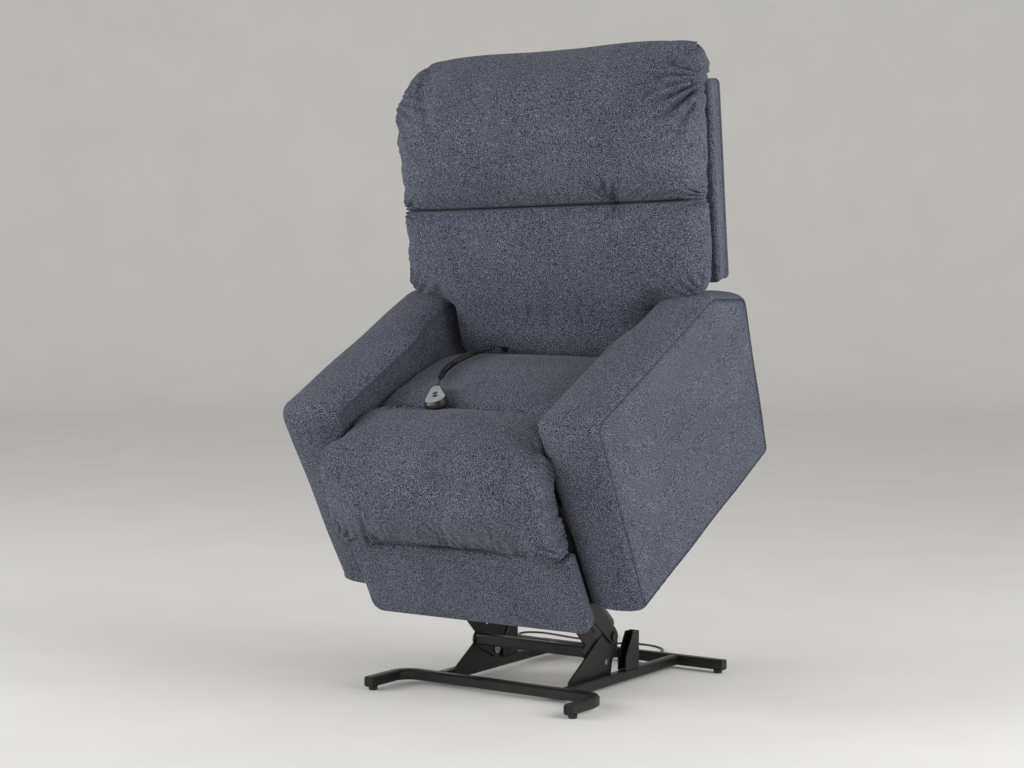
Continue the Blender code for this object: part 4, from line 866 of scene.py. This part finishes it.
def makeLegPad(settings):
    outer, _ = smoothCurve(settings["outer"], 30)
    inner, _ = smoothCurve(settings["inner"], 30)
    walk = np.concatenate([[0.0], np.cumsum(np.linalg.norm(np.diff(outer, axis=0), axis=1))])
    pick = np.interp(np.linspace(0.0, walk[-1], settings["rows"]), walk, np.arange(len(outer)))
    outer = np.stack([np.interp(pick, np.arange(len(outer)), outer[:, k]) for k in (0, 1)], 1)
    inner = np.stack([np.interp(pick, np.arange(len(inner)), inner[:, k]) for k in (0, 1)], 1)
    along = np.linspace(0.0, walk[-1], settings["rows"])
    # between the arms' puffed fronts it is slimmer; before and behind them it is fuller
    half = settings["midHalf"] + (settings["half"] - settings["midHalf"]) * smoothStep(along, 0.170, 0.190)
    waist = smoothStep(outer[:, 0], -0.022, 0.000) * (1.0 - smoothStep(outer[:, 0], 0.050, 0.085))
    half = half - (settings["midHalf"] - settings["seatHalf"]) * waist
    half = half - 0.006 * np.exp(-along / 0.010) - 0.030 * smoothStep(along, walk[-1] - 0.05, walk[-1])
    turn = evenTurns(settings["around"], settings["square"], 6.0)
    onKnee = 1.0 - smoothStep(along, 0.22, 0.32)
    square = settings["square"] + (settings["seatSquare"] - settings["square"]) * onKnee
    across, deep = squared(turn[None], square[:, None])
    # the side away from the sitter's legs is squarer, so the ends reach back to the arms
    acrossIn, deepIn = squared(turn[None], settings["innerSquare"])
    across, deep = np.where(deep < 0.0, acrossIn, across), np.where(deep < 0.0, deepIn, deep)
    middle, reach = 0.5 * (outer + inner), 0.5 * (outer - inner)
    x = half[:, None] * across
    y = middle[:, :1] + reach[:, :1] * deep
    z = middle[:, 1:] + reach[:, 1:] * deep
    far = np.broadcast_to(along[:, None], x.shape)
    out = deep

    # the seat's crown across, and the hem's middle drawn up higher than its corners
    onSeat = 1.0 - smoothStep(far, 0.17, 0.26)
    z = z - 0.009 * (x / settings["half"]) ** 2 * onSeat * smoothStep(out, -0.2, 0.6)
    low = 1.0 - smoothStep(z, 0.165, 0.255)
    z = z + settings["drawnUp"] * (1.0 - smoothStep(np.abs(x), 0.175, 0.250)) * low
    rings = fromSeat(np.stack([x, y, z], -1))
    held = np.maximum(1.0 - smoothStep(out, -0.2, 0.25), 1.0 - smoothStep(far, 0.006, 0.05))
    held = np.maximum(held, smoothStep(far, walk[-1] - 0.03, walk[-1] - 0.01))
    rings = swell(rings, held, settings["cloth"])
    piece = ringShell("legPad", rings, fabric)
    x, far, out = (withEnds(part) for part in (x, far, out))

    face = smoothStep(out, 0.15, 0.75)
    hem = walk[-1] - 0.030
    fromHem = hem - far
    amount = face * ripples(x, far, 0.095, 0.10, 0.0016, 1.9) * smoothStep(far, 0.01, 0.04)
    gathered = smoothStep(fromHem, 0.0, 0.012)
    amount += face * ripples(x - 0.35 * fromHem, fromHem, 0.046, 0.060, 0.0078, 0.4) * gathered
    amount += face * ripples(x - 0.15 * fromHem, fromHem, 0.090, 0.150, 0.0036, 4.0)
    amount += face * fan(x, far, (-0.225, 0.0), 90.0, 60.0, 4, 0.080, 0.010)
    amount += face * fan(x, fromHem, (0.060, -0.030), 112.0, 34.0, 5, 0.190, 0.009) * gathered
    for sideSign in (1.0, -1.0):
        mirrored = x * sideSign
        amount += (0.3 + 0.7 * face) * fan(mirrored, fromHem, (0.205, -0.010), 70.0, 45.0, 4, 0.105, 0.010)
        amount += (0.4 + 0.6 * face) * fan(mirrored, fromHem, (0.315, 0.010), 150.0, 60.0, 6, 0.120, 0.016)
        edge = smoothStep(mirrored, 0.255, 0.292)
        amount += edge * ripples(far, 0.0 * far, 0.036, 1.0, 0.0042, 2.0 + sideSign) * smoothStep(far, 0.19, 0.24)
    pushed(piece, amount)
    # the first centimetre from the seat's channel is painted dark: painted shade in the crease against the seat
    markSeamAndShade(piece, 0.9 * (1.0 - smoothStep(far, 0.004, 0.011)))
    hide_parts("leg_pad")
    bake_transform(piece)
    print("leg pad made")


makeLegPad(legPad)

# arms: side outline in the seat's axes, a crowned band over front and top, flat outer panel
arm = {
    "corners": [(0.0, 0.0), (0.671, 0.0), (0.721, 0.407), (0.581, 0.485), (0.0, 0.490)],
    "radii": [0.010, 0.014, 0.034, 0.070, 0.038],
    "inner": 0.300,
    "outerTop": 0.4375,
    "outerBottom": 0.4225,
    "height": 0.490,
    "around": 460,
    "band": [(0.0, 0.018), (0.05, 0.0075), (0.14, 0.001), (0.30, -0.006), (0.50, -0.008), (0.75, -0.005),
             (0.90, 0.000), (0.955, 0.0035), (1.0, 0.0105)],
    "bandRows": 44,
    "capRows": 22,
    "lean": 0.024,
    "frontLean": 0.022,
    "seam": 0.985,
    "innerSeam": 0.945,
    "fill": 0.9,
}


def roundedOutline(corners, radii, count):
    # straight sides joined by arcs, then spaced evenly
    corners = np.asarray(corners, float)
    made = []
    for at, radius in enumerate(radii):
        here, before, after = corners[at], corners[at - 1], corners[(at + 1) % len(corners)]
        a = (before - here) / np.linalg.norm(before - here)
        b = (after - here) / np.linalg.norm(after - here)
        angle = math.acos(float(np.clip(a @ b, -1.0, 1.0)))
        reach = radius / math.tan(angle / 2.0)
        middle = here + (a + b) / np.linalg.norm(a + b) * radius / math.sin(angle / 2.0)
        first, last = here + a * reach - middle, here + b * reach - middle
        share = np.linspace(0.0, 1.0, 24)[:, None]
        sweep = first * (1.0 - share) + last * share
        made.append(middle + radius * sweep / np.linalg.norm(sweep, axis=1)[:, None])
    return evenAlong(np.concatenate(made), count, closed=True)


def outwardOf(outline):
    # unit normals of a closed anticlockwise outline
    ahead = np.roll(outline, -1, 0) - np.roll(outline, 1, 0)
    ahead /= np.linalg.norm(ahead, axis=1)[:, None]
    return np.stack([ahead[:, 1], -ahead[:, 0]], 1)


def makeArm(name, sideSign, settings):
    outline = roundedOutline(settings["corners"], settings["radii"], settings["around"])
    outward = outwardOf(outline)
    upFront = np.clip(np.maximum(-outward[:, 0], outward[:, 1]), 0.0, 1.0)
    weight = 0.30 + 0.70 * blurred(upFront, 2.0)
    share = 0.5 - 0.5 * np.cos(np.linspace(0.0, math.pi, settings["bandRows"]))
    inset = through(share, settings["band"], 1, 0.012)
    flat = outline[None] - outward[None] * (inset[:, None] * weight[None])[..., None]
    taper = (settings["outerTop"] - settings["outerBottom"]) / settings["height"]
    outer = settings["outerBottom"] + taper * flat[..., 1]
    x = settings["inner"] + share[:, None] * (outer - settings["inner"])

    # padding along the top leans in over the seat, less towards the back
    y, z = flat[..., 0], flat[..., 1]
    lean = settings["lean"] * smoothStep(z, 0.432, 0.472) * (1.0 - smoothStep(y, 0.34, 0.46))
    lean = np.maximum(lean, settings["frontLean"] * (1.0 - smoothStep(y, 0.010, 0.050)))
    x = x - lean * (1.0 - share[:, None]) ** 2
    band = np.stack([x, y, z], -1)

    # each end closes with rings that shrink to the panel's middle; the outer one is slightly domed
    shrink = np.sin(np.linspace(0.0, 0.5 * math.pi, settings["capRows"]))[:-1]
    shrink = np.concatenate([[0.03], shrink[1:]])[:, None, None]
    caps = []
    for row, dome in ((0, 0.0), (-1, 0.0050)):
        ring = band[row]
        middle = ring.mean(0)
        cap = middle + shrink * (ring - middle)
        bow = dome * (1.0 - shrink[..., 0] ** 3)
        cap[..., 0] += bow
        if row == 0:
            cap[..., 0] = settings["inner"] + (cap[..., 0] - settings["inner"]) * shrink[..., 0] ** 6
        caps.append(cap)
    rings = np.concatenate([caps[0], band, caps[1][::-1]])
    local = np.concatenate([rings.reshape(-1, 3), rings[:1].mean(1), rings[-1:].mean(1)])
    rows = len(rings)
    onBand = np.concatenate([np.full(len(shrink), -1.0), share, np.full(len(shrink), 2.0)])
    onBand = np.concatenate([np.repeat(onBand, settings["around"]), [-1.0, 2.0]])
    around = np.concatenate([np.tile(np.linspace(0.0, 2.3, settings["around"]), rows), [0.0, 0.0]])
    placed = rings * np.array([sideSign, 1.0, 1.0])
    piece = ringShell(name, fromSeat(placed), fabric)
    x, y, z = local.T
    inPanel = np.concatenate([shrink[:, 0, 0] + settings["seam"] - settings["innerSeam"], np.full(len(share), 9.0),
                              shrink[::-1, 0, 0]])
    inPanel = np.concatenate([np.repeat(inPanel, settings["around"]), [9.0, 9.0]])
    gap = np.abs(inPanel - settings["seam"])
    pucker = np.sin(2.0 * math.pi * around / 0.031 + 3.0 * np.sin(around * 9.0))
    amount = -0.0040 * np.exp(-gap / 0.006) + 0.0007 * np.exp(-gap / 0.05) * pucker
    # dark line along the panel seam: thread colour and painted shade in its groove
    markSeamAndShade(piece, np.exp(-(gap / 0.0085) ** 2))
    amount += 0.0011 * np.sin(9.0 * y + 6.0 * z) * np.sin(8.0 * z - 4.0 * y + 1.0) * smoothStep(onBand, 1.0, 1.5)
    bandOnly = smoothStep(onBand, 0.05, 0.2) * smoothStep(-onBand, -1.2, -0.9)
    amount += 0.0010 * np.sin(23.0 * around + 2.0 * onBand) * bandOnly
    pushed(piece, amount)
    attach(piece, "chair")
    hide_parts("arm_right" if sideSign > 0 else "arm_left")


makeArm("armRight", 1.0, arm)
makeArm("armLeft", -1.0, arm)
print("arms made")

# back shell: upholstered T-shaped board, its wings standing over the arms
backShell = {
    "front": 0.044,
    "thick": 0.085,
    "slim": 0.2882,
    "wide": 0.385,
    "bottom": -0.010,
    "wing": 0.242,
    "top": 0.718,
    "around": 420,
    "edge": 0.011,
    "fill": 0.95,
}


def makeBackShell(settings):
    slim, wide = settings["slim"], settings["wide"]
    low, wing, top = settings["bottom"], settings["wing"], settings["top"]
    corners = [(-slim, low), (slim, low), (slim, wing), (wide, wing), (wide, top), (-wide, top), (-wide, wing),
               (-slim, wing)]
    outline = roundedOutline(corners, [0.022, 0.022, 0.006, 0.014, 0.014, 0.014, 0.014, 0.006], settings["around"])
    outward = outwardOf(outline)
    middle = np.array([0.0, 0.45])
    edge = settings["edge"]
    quarter = np.linspace(0.0, 0.5 * math.pi, 8)
    rounding = edge * (1.0 - np.sin(quarter))
    drop = edge * (1.0 - np.cos(quarter))
    depths = np.concatenate([drop, np.linspace(edge, settings["thick"] - edge, 16)[1:-1],
                             settings["thick"] - drop[::-1]])
    insets = np.concatenate([rounding, np.zeros(14), rounding[::-1]])
    flat = outline[None] - outward[None] * insets[:, None, None]
    y = settings["front"] + np.broadcast_to(depths[:, None], flat.shape[:2])
    # its sides reach out a little to meet the cushion
    nearFront = 1.0 - smoothStep(y, settings["front"], settings["front"] + 0.060)
    flare = 1.0 + 0.040 * nearFront * (np.abs(flat[..., 0]) > slim)
    body = np.stack([flat[..., 0] * flare, y, flat[..., 1]], -1)
    shrink = np.linspace(0.02, 1.0, 26)[:-1][:, None]
    caps = []
    for row, dome in ((0, 0.0), (-1, 0.007)):
        cap = middle + shrink[..., None] * (flat[row] - middle)
        deep = depths[row] + settings["front"] + dome * (1.0 - shrink ** 4)
        caps.append(np.stack([cap[..., 0], np.broadcast_to(deep, cap.shape[:2]), cap[..., 1]], -1))
    rings = np.concatenate([caps[0], body, caps[1][::-1]])
    piece = ringShell("backShell", fromBack(rings), fabric)
    local = np.concatenate([rings.reshape(-1, 3), rings[:1].mean(1), rings[-1:].mean(1)])
    x, y, z = local.T
    gap = np.abs(y - settings["front"] - settings["thick"] + 0.016)
    amount = -0.0022 * np.exp(-gap / 0.0025) + 0.0008 * np.sin(9.0 * x + 5.0 * z) * np.sin(7.0 * z - 3.0 * x)
    amount *= smoothStep(y, settings["front"] + 0.02, settings["front"] + 0.04)
    pushed(piece, amount)
    # dark line along the rear seam: thread colour and painted shade in its groove
    markSeamAndShade(piece, 0.8 * np.exp(-(gap / 0.0022) ** 2))
    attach(piece, "backrest")
    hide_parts("back_shell")
    print("back shell made")


makeBackShell(backShell)

# footrest board: flat upholstered flap under the leg pad
footBoard = {
    "half": 0.3060,
    "top": -0.2200,
    "bottom": -0.4250,
    "front": -0.0110,
    "deep": 0.0350,
    "corner": 0.030,
    "around": 360,
    "edge": 0.010,
    "fill": 0.95,
}


def makeFootBoard(settings):
    half, edge = settings["half"], settings["edge"]
    low, top = settings["bottom"], settings["top"]
    corners = [(-half, low), (half, low), (half, top), (-half, top)]
    radii = [settings["corner"], settings["corner"], 0.008, 0.008]
    outline = roundedOutline(corners, radii, settings["around"])
    outward = outwardOf(outline)
    quarter = np.linspace(0.0, 0.5 * math.pi, 8)
    depths = np.concatenate([edge * (1.0 - np.cos(quarter)), np.linspace(edge, settings["deep"], 6)[1:]])
    insets = np.concatenate([edge * (1.0 - np.sin(quarter)), np.zeros(5)])
    insets[-1] = 0.002
    flat = outline[None] - outward[None] * insets[:, None, None]
    middle = np.array([0.0, 0.5 * (settings["top"] + settings["bottom"])])
    y = settings["front"] + np.broadcast_to(depths[:, None], flat.shape[:2])
    body = np.stack([flat[..., 0], y, flat[..., 1]], -1)
    shrink = np.linspace(0.02, 1.0, 20)[:-1][:, None]
    caps = []
    for row, dome in ((0, -0.003), (-1, 0.0)):
        cap = middle + shrink[..., None] * (flat[row] - middle)
        deep = settings["front"] + depths[row] + dome * (1.0 - shrink ** 4)
        caps.append(np.stack([cap[..., 0], np.broadcast_to(deep, cap.shape[:2]), cap[..., 1]], -1))
    rings = np.concatenate([caps[0], body, caps[1][::-1]])
    hinge = np.array(stance["footHinge"])
    piece = ringShell("footBoard", fromSeat(rings + hinge), fabric)
    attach(piece, "footrest")
    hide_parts("footrest_board")
    print("foot board made")


makeFootBoard(footBoard)

# pale floor, soft light
studio = {"floor": (0.90, 0.89, 0.87), "sky": 0.42, "flat": 9.0, "sweep": 2.0, "wall": 4.5}


def areaLight(name, place, aim, size, watts):
    data = bpy.data.lights.new(name, "AREA")
    data.shape = "RECTANGLE"
    data.size, data.size_y = size
    data.energy = watts
    lamp = bpy.data.objects.new(name, data)
    lamp.visible_camera = False
    scene.collection.objects.link(lamp)
    ahead = np.array(aim, float) - np.array(place, float)
    ahead /= np.linalg.norm(ahead)
    right = np.cross(ahead, (0.0, 0.0, 1.0))
    right /= np.linalg.norm(right)
    rows = np.stack([right, np.cross(right, ahead), -ahead, np.array(place, float)], 1)
    lamp.matrix_world = Matrix(rows.tolist() + [[0.0, 0.0, 0.0, 1.0]])


def makeStudio(settings):
    # a round floor that sweeps up far off on every side: flat, then a quarter circle, then a low wall
    flat, sweep = settings["flat"], settings["sweep"]
    quarter = np.linspace(0.0, 0.5 * math.pi, 16)
    reach = np.concatenate([np.linspace(0.0, flat, 12), flat + sweep * np.sin(quarter[1:]), [flat + sweep]])
    rise = np.concatenate([np.zeros(12), sweep * (1.0 - np.cos(quarter[1:])), [settings["wall"]]])
    turn = np.linspace(0.0, 2.0 * math.pi, 72, endpoint=False)
    x, y = reach[:, None] * np.cos(turn), reach[:, None] * np.sin(turn)
    points = np.stack([x, y, np.broadcast_to(rise[:, None], x.shape)], -1).reshape(-1, 3)
    here = np.arange(len(reach) - 1)[:, None] * 72 + np.arange(72)[None]
    on = np.arange(len(reach) - 1)[:, None] * 72 + (np.arange(72)[None] + 1) % 72
    quads = np.stack([here, here + 72, on + 72, on], -1).reshape(-1, 4)
    made, tree, shader = newFinish("paleFloor", settings["floor"], 0.85, specular=0.2)
    mottle = noiseOf(tree, 3.0, 4.0)
    pale = settings["floor"]
    stops = [(0.35, tuple(0.97 * c for c in pale)), (0.65, pale)]
    tree.links.new(rampOf(tree, mottle, stops), shader.inputs["Base Color"])
    mesh = bpy.data.meshes.new("floor")
    mesh.from_pydata(points.tolist(), [], quads.tolist())
    mesh.shade_smooth()
    mesh.materials.append(made)
    floor = bpy.data.objects.new("floor", mesh)
    scene.collection.objects.link(floor)

    world = bpy.data.worlds.new("softSky")
    scene.world = world
    world.use_nodes = True
    sky = world.node_tree.nodes["Background"]
    sky.inputs["Color"].default_value = (1.0, 0.99, 0.97, 1.0)
    sky.inputs["Strength"].default_value = settings["sky"]
    areaLight("rightWindow", (4.6, 0.1, 2.3), (0.0, 0.0, 0.7), (3.0, 2.6), 155.0)
    areaLight("leftWindow", (-4.4, -3.6, 2.2), (0.0, 0.0, 0.7), (2.6, 2.4), 140.0)
    areaLight("frontFill", (-0.4, -5.4, 1.7), (0.0, -0.2, 0.5), (3.0, 1.6), 64.0)


makeStudio(studio)
scene.view_settings.view_transform = "Standard"
print("studio set")

print("scene finished")
